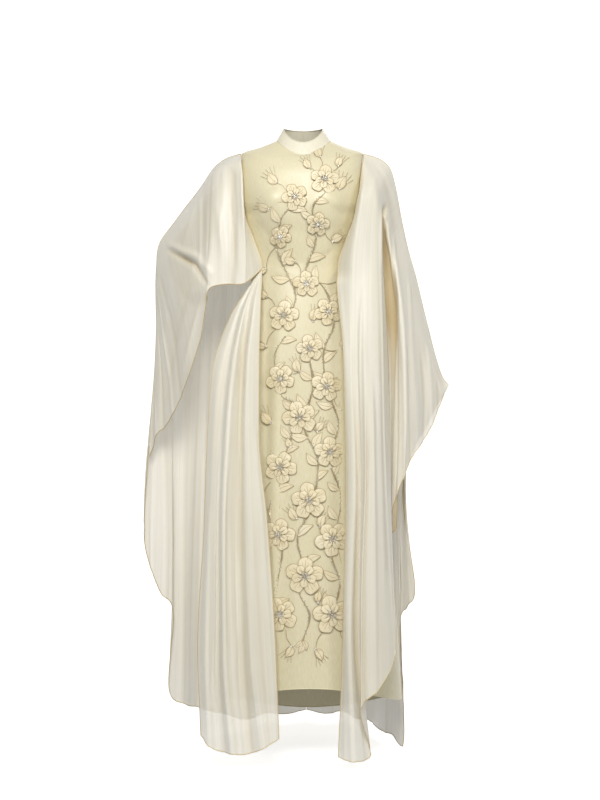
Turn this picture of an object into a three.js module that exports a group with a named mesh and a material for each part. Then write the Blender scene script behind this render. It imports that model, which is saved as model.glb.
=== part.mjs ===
// A long satin dress with a stand collar and narrow sleeves, under a sheer cape with butterfly sleeves.
// Millimetres, +Z up, -Y is the front, +X is the wearer's left. The origin is the middle of the neck base,
// level with the shoulders, where the wearer carries the garment.

import * as THREE from "three";

// ---------------------------------------------------------------- driving dimensions

const SATIN = 2.0; // wall of the dress
const ORGANZA = 1.2; // wall of the cape
const SEAM_GAP = 0.3; // between two pieces that are sewn together
const ON_DRESS = SATIN / 2 + ORGANZA / 2 + SEAM_GAP + 0.2; // from the dress's middle layer to the cape's
const ARMHOLE_GAP = 2.3; // from the dress's middle layer to the start of its sleeve
const PANEL_TUCK = 0.45; // how much nearer to the dress the right panel's sewn corner lies
const CLEAR = 6; // the cape's least distance from the dress, away from its seams
const COLLAR_HEIGHT = 45;
const COLLAR_TOP = { half: 49, front: -50, back: 44, dip: 27, rise: 4, centre: -1 };
const BUST = { x: 72, z: -150, wide: 62, high: 60, proud: 20 };
const YOKE = { middle: 3.5, shoulder: 2.05, ease: 5 }; // rows of the dress where the cape's back is sewn on
const PETALS = 5;
const BLOSSOM = { clear: 0.95, rim: 1.3, dome: 4.5, groove: 1.6, notch: 0.3 };

// The dress at each height. z is at the side seam or the armhole's edge, front_z and back_z are at the middle.
// half is half the width, edge the side seam's y, arm how far the armhole opens forwards and backwards from
// it, and seam the angle from the middle of the front at which the cape is sewn in.
const DRESS = [
  { at: "neck", z: 22, front_z: -21, back_z: 12, half: 67, centre: 0, edge: 0, arm: 0, front: -62, back: 58, seam: 88 },
  { at: "yoke", z: 6, front_z: -29, back_z: -4, half: 108, centre: -1, edge: 4, arm: 0, front: -76, back: 78, seam: 88 },
  { at: "shoulder", z: -11, front_z: -46, back_z: -24, half: 152, centre: -3, edge: 5, arm: 0, front: -89, back: 92, seam: 87 },
  { at: "high_chest", z: -50, front_z: -68, back_z: -58, half: 149, centre: -6, edge: 5, arm: 33, front: -98, back: 103, seam: 84 },
  { at: "chest", z: -92, front_z: -102, back_z: -96, half: 147, centre: -8, edge: 4, arm: 43, front: -104, back: 108, seam: 80 },
  { at: "bust", z: -138, front_z: -143, back_z: -140, half: 148, centre: -9, edge: 2, arm: 30, front: -107, back: 108, seam: 68 },
  { at: "underarm", z: -172, front_z: -176, back_z: -174, half: 150, centre: -9, edge: 0, arm: 0, front: -106, back: 104, seam: 61 },
  { at: "ribs", z: -230, front_z: -232, back_z: -230, half: 133, centre: -9, edge: 0, arm: 0, front: -98, back: 94, seam: 56 },
  { at: "waist", z: -300, front_z: -300, back_z: -300, half: 116, centre: -9, edge: 0, arm: 0, front: -88, back: 84, seam: 52 },
  { at: "high_hip", z: -390, front_z: -390, back_z: -390, half: 142, centre: -8, edge: 0, arm: 0, front: -99, back: 108, seam: 52 },
  { at: "hip", z: -500, front_z: -500, back_z: -500, half: 166, centre: -6, edge: 0, arm: 0, front: -111, back: 131, seam: 52 },
  { at: "thigh", z: -690, front_z: -685, back_z: -695, half: 184, centre: 0, edge: 0, arm: 0, front: -125, back: 138, seam: 52 },
  { at: "knee", z: -950, front_z: -935, back_z: -965, half: 205, centre: 6, edge: 0, arm: 0, front: -148, back: 152, seam: 52 },
  { at: "calf", z: -1180, front_z: -1150, back_z: -1210, half: 222, centre: 11, edge: 0, arm: 0, front: -171, back: 174, seam: 52 },
  { at: "hem", z: -1368, front_z: -1314, back_z: -1428, half: 231, centre: 14, edge: 0, arm: 0, front: -187, back: 192, seam: 52 },
];
const WAIST_ROW = DRESS.findIndex((row) => row.at === "waist");

// The satin sleeves, as sections along the arm: the middle of each and its radius.
const SLEEVE_LEFT = [
  { at: "armhole", x: 122, y: 4, z: -108, radius: 60 },
  { at: "cap", x: 178, y: 6, z: -122, radius: 42 },
  { at: "upper_arm", x: 192, y: 10, z: -202, radius: 39 },
  { at: "elbow", x: 204, y: 14, z: -330, radius: 37 },
  { at: "forearm", x: 208, y: 0, z: -455, radius: 33 },
  { at: "cuff", x: 207, y: -18, z: -570, radius: 29 },
];
const SLEEVE_RIGHT = [
  { at: "armhole", x: -125, y: 4, z: -96, radius: 60 },
  { at: "cap", x: -198, y: 20, z: -128, radius: 41 },
  { at: "upper_arm", x: -258, y: 48, z: -190, radius: 35 },
  { at: "elbow", x: -314, y: 66, z: -268, radius: 30 },
  { at: "forearm", x: -292, y: 26, z: -328, radius: 27 },
  { at: "cuff", x: -262, y: -32, z: -374, radius: 24 },
];

// The seam along the top of each arm, from the shoulder (along 0) to the corner of the butterfly sleeve (along 1).
const OVERARM_LEFT = [
  { along: 0, x: 149.5, y: 5, z: -8.5 },
  { along: 0.1, x: 192, y: 8, z: -23 },
  { along: 0.2, x: 216, y: 10, z: -44 },
  { along: 0.3, x: 230, y: 12, z: -88 },
  { along: 0.45, x: 246, y: 14, z: -173 },
  { along: 0.6, x: 262, y: 15, z: -246 },
  { along: 0.72, x: 282, y: 15, z: -317 },
  { along: 0.86, x: 312, y: 14, z: -441 },
  { along: 0.97, x: 352, y: 12, z: -574 },
  { along: 1, x: 365, y: 12, z: -587 },
];
const OVERARM_RIGHT = [
  { along: 0, x: -155.5, y: 5, z: -8.5 },
  { along: 0.12, x: -190, y: 20, z: -17 },
  { along: 0.2, x: -220, y: 32, z: -35 },
  { along: 0.3, x: -265, y: 55, z: -93 },
  { along: 0.4, x: -326, y: 80, z: -168 },
  { along: 0.5, x: -372, y: 100, z: -233 },
  { along: 0.55, x: -376, y: 98, z: -262 },
  { along: 0.65, x: -374, y: 85, z: -347 },
  { along: 0.78, x: -376, y: 70, z: -480 },
  { along: 0.92, x: -386, y: 55, z: -676 },
  { along: 1, x: -390, y: 50, z: -741 },
];

// Each cape piece hangs in folds. A row is one fold: along is where it starts on the top seam, x and y are its
// place at the LEVELS, each a share of its fall from that seam, and hem is the z of its lower end.
const LEVELS = [0, 0.08, 0.2, 0.35, 0.55, 0.8, 1];

const CAPE_FRONT_LEFT = [
  { fold: "front_edge", along: 0, hem: -1473, x: [124, 80, 97, 103, 94, 82], y: [-100, -95, -135, -165, -195, -205] },
  { fold: "first_flute", along: 0.04, hem: -1479, x: [137, 110, 112, 120, 110, 121], y: [-106, -112, -145, -182, -216, -229] },
  { fold: "flute_back", along: 0.08, hem: -1468, x: [152, 135, 131, 137, 133, 160], y: [-104, -114, -144, -176, -196, -188] },
  { fold: "second_flute", along: 0.12, hem: -1357, x: [164, 152, 146, 149, 137, 134], y: [-100, -112, -146, -190, -222, -232] },
  { fold: "panel_face", along: 0.18, hem: -1303, x: [178, 171, 170, 173, 177, 183], y: [-92, -108, -138, -174, -204, -215] },
  { fold: "panel_edge", along: 0.25, hem: -1222, x: [189, 187, 190, 195, 208, 220], y: [-80, -97, -122, -142, -157, -165] },
  { fold: "recess", along: 0.32, hem: -1010, x: [200, 205, 210, 213, 215, 217], y: [-62, -67, -74, -76, -76, -74] },
  { fold: "recess_outer", along: 0.4, hem: -905, x: [210, 218, 223, 223, 221, 216], y: [-56, -66, -76, -82, -80, -72] },
  { fold: "arm_ridge", along: 0.48, hem: -811, x: [226, 232, 240, 246, 248, 246], y: [-38, -62, -84, -98, -98, -84] },
  { fold: "arm_outer", along: 0.6, hem: -755, x: [256, 256, 259, 264, 270, 273], y: [-20, -42, -62, -76, -80, -70] },
  { fold: "wing", along: 0.73, hem: -719, x: [283, 285, 289, 296, 301, 301], y: [-8, -22, -36, -44, -46, -40] },
  { fold: "wing_outer", along: 0.87, hem: -662, x: [315, 317, 322, 327, 330, 330], y: [2, -6, -14, -19, -20, -18] },
  { fold: "corner", along: 1, hem: -610, x: [364, 363, 361, 359, 355, 352], y: [10, 9, 8, 7, 6, 5] },
];

const CAPE_BACK_LEFT = [
  { fold: "centre_back", along: -1, hem: -1479, x: [-6, -7, -6, -2, 4, 8], y: [118, 150, 190, 235, 330, 430] },
  { fold: "valley_1", along: -0.75, hem: -1479, x: [40, 42, 46, 52, 56, 58], y: [116, 138, 166, 205, 290, 370] },
  { fold: "flute_1", along: -0.5, hem: -1478, x: [84, 86, 92, 98, 102, 108], y: [111, 142, 182, 232, 315, 400] },
  { fold: "valley_2", along: -0.25, hem: -1477, x: [136, 136, 136, 138, 139, 140], y: [96, 124, 154, 186, 236, 290] },
  { fold: "flute_2", along: 0, hem: -1478, x: [168, 166, 168, 172, 174, 170], y: [88, 116, 152, 190, 238, 285] },
  { fold: "side_back", along: 0.1, hem: -1478, x: [188, 190, 194, 198, 202, 196], y: [78, 92, 108, 124, 140, 150] },
  { fold: "side", along: 0.2, hem: -1478, x: [214, 214, 218, 222, 232, 224], y: [68, 78, 86, 94, 100, 82] },
  { fold: "side_front", along: 0.27, hem: -1479, x: [226, 228, 232, 236, 246, 252], y: [60, 68, 76, 84, 80, 34] },
  { fold: "step", along: 0.33, hem: -1200, x: [234, 236, 240, 243, 246, 246], y: [52, 60, 68, 76, 86, 88] },
  { fold: "step_outer", along: 0.39, hem: -1151, x: [240, 244, 250, 252, 256, 262], y: [44, 52, 58, 62, 66, 66] },
  { fold: "back_corner", along: 0.46, hem: -1094, x: [248, 250, 251, 250, 256, 280], y: [31, 38, 44, 46, 44, 40] },
  { fold: "hollow", along: 0.56, hem: -862, x: [258, 262, 266, 268, 262, 250], y: [29, 37, 43, 47, 49, 49] },
  { fold: "under_wing", along: 0.67, hem: -745, x: [274, 278, 284, 286, 284, 280], y: [25, 31, 36, 39, 41, 41] },
  { fold: "under_wing_outer", along: 0.79, hem: -700, x: [295, 298, 301, 304, 305, 304], y: [21, 25, 28, 31, 31, 31] },
  { fold: "wing_back", along: 0.9, hem: -645, x: [324, 325, 327, 329, 330, 330], y: [18, 20, 22, 23, 23, 22] },
  { fold: "corner", along: 1, hem: -608, x: [364, 363, 361, 359, 355, 352], y: [15, 15, 15, 14, 13, 12] },
];

const CAPE_SLEEVE_RIGHT = [
  { fold: "seam_edge", along: 0, hem: -300, x: [-153, -150, -147, -143, -122, -100], y: [-30, -60, -80, -90, -80, -58] },
  { fold: "taut_ridge", along: 0.03, hem: -340, x: [-156, -153, -150, -147, -145, -145], y: [-50, -74, -88, -98, -102, -102] },
  { fold: "below_shoulder", along: 0.12, hem: -342, x: [-190, -190, -189, -188, -188, -189], y: [-34, -58, -74, -86, -94, -97] },
  { fold: "upper_arm", along: 0.2, hem: -354, x: [-222, -224, -226, -228, -230, -231], y: [-20, -46, -64, -78, -92, -98] },
  { fold: "wrist", along: 0.3, hem: -405, x: [-264, -260, -256, -252, -244, -241], y: [10, -20, -42, -64, -88, -94] },
  { fold: "forearm", along: 0.38, hem: -473, x: [-312, -303, -293, -280, -262, -253], y: [36, 6, -22, -54, -76, -82] },
  { fold: "forearm_back", along: 0.46, hem: -563, x: [-350, -340, -326, -308, -291, -283], y: [60, 30, -2, -32, -52, -58] },
  { fold: "elbow", along: 0.54, hem: -645, x: [-372, -366, -354, -338, -325, -318], y: [80, 58, 36, 12, -8, -16] },
  { fold: "below_elbow", along: 0.65, hem: -688, x: [-371, -366, -360, -354, -348, -345], y: [72, 58, 44, 28, 15, 10] },
  { fold: "outer", along: 0.78, hem: -711, x: [-374, -373, -372, -371, -370, -369], y: [62, 54, 46, 38, 31, 28] },
  { fold: "outer_low", along: 0.9, hem: -744, x: [-383, -383, -382, -381, -380, -380], y: [55, 52, 49, 46, 43, 41] },
  { fold: "corner", along: 1, hem: -768, x: [-390, -390, -390, -390, -390, -390], y: [48, 48, 48, 47, 47, 47] },
];

const CAPE_BACK_RIGHT = [
  { fold: "centre_back", along: -1, hem: -1479, x: [-6, -7, -6, -2, 4, 8], y: [118, 150, 190, 235, 330, 430] },
  { fold: "valley_1", along: -0.75, hem: -1479, x: [-52, -56, -58, -58, -52, -44], y: [116, 138, 166, 205, 285, 365] },
  { fold: "flute_1", along: -0.5, hem: -1478, x: [-97, -102, -108, -112, -108, -100], y: [111, 142, 182, 232, 306, 370] },
  { fold: "valley_2", along: -0.25, hem: -1474, x: [-142, -145, -151, -156, -156, -150], y: [96, 124, 152, 184, 226, 262] },
  { fold: "flute_2", along: 0, hem: -1458, x: [-175, -182, -192, -202, -208, -204], y: [90, 118, 150, 188, 226, 250] },
  { fold: "valley_3", along: 0.1, hem: -1436, x: [-196, -208, -224, -236, -242, -240], y: [84, 104, 122, 142, 162, 176] },
  { fold: "side_back", along: 0.2, hem: -1424, x: [-228, -238, -250, -262, -272, -275], y: [96, 112, 128, 146, 164, 172] },
  { fold: "side", along: 0.3, hem: -1408, x: [-268, -274, -282, -290, -298, -302], y: [108, 118, 122, 124, 124, 120] },
  { fold: "side_fold", along: 0.38, hem: -1363, x: [-314, -316, -320, -326, -333, -343], y: [118, 122, 120, 116, 106, 92] },
  { fold: "step", along: 0.45, hem: -1166, x: [-350, -349, -345, -339, -333, -332], y: [116, 118, 114, 104, 92, 86] },
  { fold: "back_corner", along: 0.53, hem: -1114, x: [-378, -375, -369, -362, -360, -364], y: [102, 101, 98, 92, 82, 76] },
  { fold: "hem_curve", along: 0.65, hem: -1036, x: [-374, -375, -378, -384, -390, -392], y: [90, 88, 84, 78, 70, 66] },
  { fold: "outer", along: 0.78, hem: -980, x: [-378, -382, -388, -396, -402, -403], y: [76, 75, 72, 68, 63, 60] },
  { fold: "outer_low", along: 0.92, hem: -904, x: [-388, -391, -396, -400, -403, -403], y: [60, 60, 59, 58, 57, 56] },
  { fold: "corner", along: 1, hem: -807, x: [-391, -392, -393, -394, -395, -396], y: [54, 54, 54, 54, 54, 54] },
];

// The right front panel falls from the lower end of the waist seam; top_x, top_y and top_z say from where.
const CAPE_FRONT_RIGHT = [
  { fold: "front_edge", top_x: -101, top_y: -61, top_z: -303, hem: -1428, x: [-105, -108, -108, -87, -68, -59], y: [-105, -130, -152, -174, -197, -210] },
  { fold: "first_flute", top_x: -104, top_y: -64, top_z: -306, hem: -1448, x: [-121, -132, -136, -128, -118, -94], y: [-114, -142, -168, -192, -214, -224] },
  { fold: "valley_1", top_x: -109, top_y: -66, top_z: -312, hem: -1464, x: [-135, -151, -157, -160, -152, -134], y: [-108, -128, -148, -170, -198, -212] },
  { fold: "second_flute", top_x: -114, top_y: -74, top_z: -318, hem: -1462, x: [-146, -168, -181, -188, -184, -165], y: [-112, -140, -168, -196, -218, -225] },
  { fold: "valley_2", top_x: -119, top_y: -76, top_z: -325, hem: -1460, x: [-157, -185, -199, -206, -208, -196], y: [-104, -122, -146, -168, -190, -202] },
  { fold: "third_flute", top_x: -124, top_y: -83, top_z: -332, hem: -1450, x: [-169, -202, -216, -224, -230, -223], y: [-102, -122, -144, -168, -190, -202] },
  { fold: "slit_edge", top_x: -128, top_y: -86, top_z: -339, hem: -1430, x: [-182, -222, -234, -241, -255, -247], y: [-92, -105, -120, -140, -155, -165] },
];

// Five-petalled blossoms on the dress front: place, radius and turn in degrees.
const BLOSSOMS = [
  { x: 50, z: -88, radius: 36, turn: 10 },
  { x: -22, z: -132, radius: 33, turn: 40 },
  { x: 34, z: -196, radius: 29, turn: 5 },
  { x: -56, z: -226, radius: 27, turn: 62 },
  { x: 6, z: -342, radius: 33, turn: 22 },
  { x: 58, z: -410, radius: 34, turn: 48 },
  { x: -48, z: -420, radius: 38, turn: 12 },
  { x: 14, z: -500, radius: 34, turn: 30 },
  { x: -56, z: -574, radius: 36, turn: 55 },
  { x: 54, z: -592, radius: 38, turn: 8 },
  { x: -10, z: -668, radius: 42, turn: 36 },
  { x: 62, z: -752, radius: 38, turn: 18 },
  { x: -56, z: -788, radius: 40, turn: 66 },
  { x: 12, z: -868, radius: 44, turn: 25 },
  { x: -60, z: -950, radius: 40, turn: 2 },
  { x: 68, z: -960, radius: 42, turn: 50 },
  { x: 2, z: -1048, radius: 46, turn: 14 },
  { x: -56, z: -1140, radius: 42, turn: 42 },
  { x: 66, z: -1140, radius: 46, turn: 28 },
];

// ---------------------------------------------------------------- curves through the tables

// A smooth value at t through values at places, without overshoot (monotone cubic).
function curve(places, values, t) {
  const last = places.length - 1;
  let i = 0;
  while (i < last - 1 && t > places[i + 1]) i++;
  const slope = (k) => (values[k + 1] - values[k]) / (places[k + 1] - places[k]);
  const tangent = (k) => {
    if (k === 0) return slope(0);
    if (k === last) return slope(last - 1);
    const before = slope(k - 1);
    const after = slope(k);
    return before * after <= 0 ? 0 : (2 * before * after) / (before + after);
  };
  const width = places[i + 1] - places[i];
  const s = THREE.MathUtils.clamp((t - places[i]) / width, 0, 1);
  const s2 = s * s;
  const s3 = s2 * s;
  return (
    values[i] * (2 * s3 - 3 * s2 + 1) +
    tangent(i) * width * (s3 - 2 * s2 + s) +
    values[i + 1] * (3 * s2 - 2 * s3) +
    tangent(i + 1) * width * (s3 - s2)
  );
}

// A softer curve through evenly spaced values, which may swing a little past them (Catmull-Rom).
function swing(values, t) {
  const last = values.length - 1;
  const i = Math.min(Math.floor(t), last - 1);
  const s = t - i;
  const at = (k) => values[THREE.MathUtils.clamp(k, 0, last)];
  const before = (at(i + 1) - at(i - 1)) / 2;
  const after = (at(i + 2) - at(i)) / 2;
  const rise = at(i + 1) - at(i);
  return at(i) + before * s + (3 * rise - 2 * before - after) * s * s + (before + after - 2 * rise) * s * s * s;
}

const column = (rows, name) => rows.map((row) => row[name]);
const indices = (rows) => rows.map((_, i) => i);
const rowCurve = (rows, name, t) => curve(indices(rows), column(rows, name), t);
const radians = THREE.MathUtils.degToRad;

// ---------------------------------------------------------------- walls

// A closed wall of even thickness on either side of the surface point(u, v), both from 0 to 1.
// A ring closes on itself in u.
function wall(point, across, down, thickness, ring = false) {
  const columns = ring ? across : across + 1;
  const rows = down + 1;
  const middle = [];
  for (let j = 0; j < rows; j++) {
    for (let i = 0; i < columns; i++) middle.push(point(i / across, j / down));
  }
  const id = (i, j) => (ring ? (i + columns) % columns : THREE.MathUtils.clamp(i, 0, columns - 1)) + j * columns;
  const normal = (i, j) => {
    const along = middle[id(i + 1, j)].clone().sub(middle[id(i - 1, j)]);
    const fall = middle[id(i, Math.min(j + 1, down))].clone().sub(middle[id(i, Math.max(j - 1, 0))]);
    return along.cross(fall).normalize();
  };
  const positions = [];
  for (const side of [1, -1]) {
    for (let j = 0; j < rows; j++) {
      for (let i = 0; i < columns; i++) {
        const p = middle[id(i, j)].clone().addScaledVector(normal(i, j), (side * thickness) / 2);
        positions.push(p.x, p.y, p.z);
      }
    }
  }
  const count = columns * rows;
  const faces = [];
  const quad = (a, b, c, d) => faces.push(a, b, c, a, c, d);
  for (let j = 0; j < down; j++) {
    for (let i = 0; i < across; i++) {
      const [a, b, c, d] = [id(i, j), id(i + 1, j), id(i + 1, j + 1), id(i, j + 1)];
      quad(a, b, c, d);
      quad(a + count, d + count, c + count, b + count);
    }
  }
  for (let i = 0; i < across; i++) {
    const [a, b, c, d] = [id(i, 0), id(i + 1, 0), id(i, down), id(i + 1, down)];
    quad(b, a, a + count, b + count);
    quad(c, d, d + count, c + count);
  }
  for (let j = 0; j < down && !ring; j++) {
    const [a, b, c, d] = [id(0, j), id(0, j + 1), id(across, j), id(across, j + 1)];
    quad(a, b, b + count, a + count);
    quad(d, c, c + count, d + count);
  }
  return solid(positions, faces);
}

// A geometry whose faces point out, whichever way its surface was walked.
function solid(positions, faces) {
  let volume = 0;
  const at = (k) => new THREE.Vector3().fromArray(positions, 3 * k);
  for (let f = 0; f < faces.length; f += 3) {
    volume += at(faces[f]).dot(at(faces[f + 1]).cross(at(faces[f + 2])));
  }
  if (volume < 0) faces.reverse();
  const geometry = new THREE.BufferGeometry();
  geometry.setAttribute("position", new THREE.Float32BufferAttribute(positions, 3));
  geometry.setIndex(faces);
  geometry.computeVertexNormals();
  return geometry;
}

// ---------------------------------------------------------------- the dress

const bustSwell = (x, z) =>
  [-1, 1].reduce((sum, side) => {
    const dx = (x - side * BUST.x) / BUST.wide;
    const dz = (z - BUST.z) / BUST.high;
    return sum + BUST.proud * Math.exp(-dx * dx - dz * dz);
  }, 0);

// A point of the dress: face is -1 for the front and 1 for the back, turn the angle from its middle in
// degrees (positive to the wearer's left) and t the row of the table.
function dressPoint(face, turn, t) {
  const side = Math.sin(radians(turn));
  const middle = Math.cos(radians(turn));
  const row = (name) => rowCurve(DRESS, name, t);
  const centre = face < 0 ? row("front_z") : row("back_z");
  const z = centre + (row("z") - centre) * side * side;
  const x = row("centre") + row("half") * side;
  const edge = row("edge") + face * row("arm");
  const depth = (face < 0 ? row("front") : row("back")) - edge;
  const swell = face < 0 ? bustSwell(x - row("centre"), z) * Math.sqrt(middle) : 0;
  return new THREE.Vector3(x, edge + depth * middle - swell, z);
}

function dressNormal(face, turn, t) {
  const step = 0.02;
  const last = DRESS.length - 1;
  const a = dressPoint(face, Math.max(turn - 1, -89.9), t);
  const b = dressPoint(face, Math.min(turn + 1, 89.9), t);
  const c = dressPoint(face, turn, Math.max(t - step, 0));
  const d = dressPoint(face, turn, Math.min(t + step, last));
  const normal = b.sub(a).cross(d.sub(c)).normalize();
  return normal.multiplyScalar(normal.y * face < 0 ? -1 : 1);
}

// The dress's surface at x and z, with its normal, or null beyond the side seams.
function dressAt(face, x, z) {
  let low = 0;
  let high = DRESS.length - 1;
  let side = 0;
  for (let i = 0; i < 26; i++) {
    const t = (low + high) / 2;
    side = (x - rowCurve(DRESS, "centre", t)) / rowCurve(DRESS, "half", t);
    const turn = Math.asin(THREE.MathUtils.clamp(side, -0.995, 0.995)) * THREE.MathUtils.RAD2DEG;
    if (dressPoint(face, turn, t).z > z) low = t;
    else high = t;
  }
  if (Math.abs(side) > 0.995) return null;
  const turn = Math.asin(side) * THREE.MathUtils.RAD2DEG;
  return { point: dressPoint(face, turn, low), normal: dressNormal(face, turn, low) };
}

// Rows of the wall are closer together where the table's rows are.
const dressRow = (v) => v * (DRESS.length - 1);

// Half the angle that a seam gap takes at the side seams.
const SIDE_SEAM = 90 - 0.12;

function dressFront() {
  return wall((u, v) => dressPoint(-1, (2 * u - 1) * SIDE_SEAM, dressRow(v)), 18, 28, SATIN);
}

function dressBack(side) {
  const point = (u, v) => {
    const p = dressPoint(1, side * u * SIDE_SEAM, dressRow(v));
    p.x += (side * SEAM_GAP) / 2;
    return p;
  };
  return wall(point, 9, 28, SATIN);
}

// The satin sleeve: round sections square to the arm, starting on the oval of the armhole.
function dressSleeve(side, rows) {
  const arm = (t) => new THREE.Vector3(rowCurve(rows, "x", t), rowCurve(rows, "y", t), rowCurve(rows, "z", t));
  const last = rows.length - 1;
  const armhole = (turn) => {
    const t = curve([0, 0.25, 0.5, 0.75, 1], [6, 4, 2, 4, 6], turn);
    const face = turn < 0.5 ? -1 : 1;
    const p = dressPoint(face, side * 90, t);
    p.x += side * ARMHOLE_GAP;
    return p;
  };
  const section = (t, turn) => {
    const along = arm(Math.min(t + 0.5, last)).sub(arm(Math.max(t - 0.5, 0))).normalize();
    const forward = new THREE.Vector3(0, -1, 0);
    forward.addScaledVector(along, -forward.dot(along)).normalize();
    const up = new THREE.Vector3().crossVectors(along, forward).multiplyScalar(-side).normalize();
    const angle = 2 * Math.PI * turn;
    const radius = rowCurve(rows, "radius", t);
    return arm(t)
      .addScaledVector(up, -Math.cos(angle) * radius)
      .addScaledVector(forward, Math.sin(angle) * radius);
  };
  const cap = 0.18; // share of the sleeve's length over which the armhole's oval turns round
  const point = (u, v) => {
    if (v >= cap) return section(1 + ((v - cap) / (1 - cap)) * (last - 1), u);
    const share = v / cap;
    return armhole(u).lerp(section(1, u), share * share * (3 - 2 * share));
  };
  return wall(point, 14, 12, SATIN, true);
}

// The stand collar: a band from the neckline up to its narrower top, its ends meeting at the centre back.
function collar() {
  const point = (u, v) => {
    const turn = (2 * u - 1) * 179.8; // from the middle of the front
    const side = Math.sin(radians(turn));
    const front = Math.cos(radians(turn));
    const face = front > 0 ? -1 : 1;
    const base = dressPoint(face, Math.asin(side) * THREE.MathUtils.RAD2DEG, 0);
    base.z += SATIN / 2 + SEAM_GAP;
    const depth = front > 0 ? -COLLAR_TOP.front : COLLAR_TOP.back;
    const top = new THREE.Vector3(
      COLLAR_TOP.centre + COLLAR_TOP.half * side,
      -depth * front,
      base.z * 0.35 + COLLAR_HEIGHT - (front > 0 ? COLLAR_TOP.dip : COLLAR_TOP.rise) * front,
    );
    const p = base.clone().lerp(top, v);
    p.z += 4 * Math.sin(Math.PI * v) * 0.2;
    return p;
  };
  return wall(point, 26, 3, SATIN);
}

// ---------------------------------------------------------------- the cape

// The height on the dress's middle layer at which its cape seam reaches z.
function seamPoint(side, z, closer = 0) {
  let low = 2;
  let high = DRESS.length - 1;
  for (let i = 0; i < 30; i++) {
    const t = (low + high) / 2;
    if (dressPoint(-1, side * rowCurve(DRESS, "seam", t), t).z > z) low = t;
    else high = t;
  }
  const turn = side * rowCurve(DRESS, "seam", low);
  const slack = 2.4 * Math.sin(Math.PI * THREE.MathUtils.clamp(z / DRESS[WAIST_ROW].z, 0, 1)); // where it eases round the bust
  return dressPoint(-1, turn, low).addScaledVector(dressNormal(-1, turn, low), ON_DRESS + slack - closer);
}

function overarm(rows, along) {
  const at = (name) => curve(column(rows, "along"), column(rows, name), along);
  return new THREE.Vector3(at("x"), at("y"), at("z"));
}

// The top edge of the cape's back: sewn on a curved yoke line from the centre back (along -1) up to the
// shoulder (along 0), then over the arm.
function backTop(side, rows, along) {
  if (along >= 0) return overarm(rows, along).add(new THREE.Vector3(0, 1, 0));
  const share = along + 1;
  const turn = side * share * 88;
  const t = YOKE.shoulder + (YOKE.middle - YOKE.shoulder) * (1 - share ** 3);
  const lift = ON_DRESS + YOKE.ease * Math.sin(Math.PI * share ** 3);
  const p = dressPoint(1, turn, t).addScaledVector(dressNormal(1, turn, t), lift);
  return p.lerp(overarm(rows, 0).add(new THREE.Vector3(0, 1, 0)), share ** 10);
}

// The surface of a cape piece through its folds. top(along) is its upper edge.
function drape(folds, top) {
  return (u, v) => {
    const t = u * (folds.length - 1);
    const start = top(t);
    const lower = (name, k) => swing(folds.map((fold) => fold[name][k]), t);
    const xs = [start.x, ...LEVELS.slice(1).map((_, k) => lower("x", k))];
    const ys = [start.y, ...LEVELS.slice(1).map((_, k) => lower("y", k))];
    const hem = swing(column(folds, "hem"), t);
    return new THREE.Vector3(curve(LEVELS, xs, v), curve(LEVELS, ys, v), start.z + (hem - start.z) * v);
  };
}

// A cape piece whose first fold is sewn to the dress from the shoulder down to the waist.
function sewnDrape(side, folds, top) {
  const free = drape(folds, top);
  const waist = DRESS[WAIST_ROW].z;
  return (u, v) => {
    const p = free(u, v);
    const edge = free(0, v);
    if (u > 0.12 || edge.z < waist - 40) return p;
    const hold = (1 - u / 0.12) ** 2 * THREE.MathUtils.smoothstep(edge.z, waist - 40, waist);
    return p.addScaledVector(seamPoint(side, edge.z).sub(edge), hold);
  };
}

// Rows of a cape piece are closer together near its top.
const fall = (v) => v ** 1.4;

// p moved away from the dress, if it is nearer than by; it stays where it is beyond the side seams.
function clearOfDress(face, p, by) {
  const found = dressAt(face, p.x, p.z);
  if (!found || by <= 0) return p;
  const least = found.point.y * face + by + ON_DRESS;
  const soft = 6;
  const over = p.y * face - least;
  p.y = face * (least + (over + Math.sqrt(over * over + soft * soft)) / 2);
  return p;
}

const alongOf = (folds, t) => swing(column(folds, "along"), t);
const frontTop = (folds, rows) => (t) =>
  overarm(rows, THREE.MathUtils.clamp(alongOf(folds, t), 0, 1)).add(new THREE.Vector3(0, -1, 0));

// The right panel's top edge leaves the lower end of the waist seam.
function panelTop(t) {
  const at = (name) => swing(column(CAPE_FRONT_RIGHT, name), t);
  const p = new THREE.Vector3(at("top_x"), at("top_y"), at("top_z"));
  return p.lerp(seamPoint(-1, CAPE_FRONT_RIGHT[0].top_z, PANEL_TUCK), Math.max(0, 1 - t) ** 2);
}

function capeFront(side, folds, rows, across, down) {
  const drop = sewnDrape(side, folds, frontTop(folds, rows));
  return wall((u, v) => drop(u, fall(v)), across, down, ORGANZA);
}

function capeBack(side, folds, rows, across, down) {
  const top = (t) => backTop(side, rows, THREE.MathUtils.clamp(alongOf(folds, t), -1, 1));
  const free = drape(folds, top);
  const point = (u, v) => {
    const p = clearOfDress(1, free(u, fall(v)), CLEAR * Math.min(1, v * down));
    p.x += (side * (SEAM_GAP + ORGANZA)) / 2;
    return p;
  };
  return wall(point, across, down, ORGANZA);
}

// ---------------------------------------------------------------- the blossoms

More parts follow.
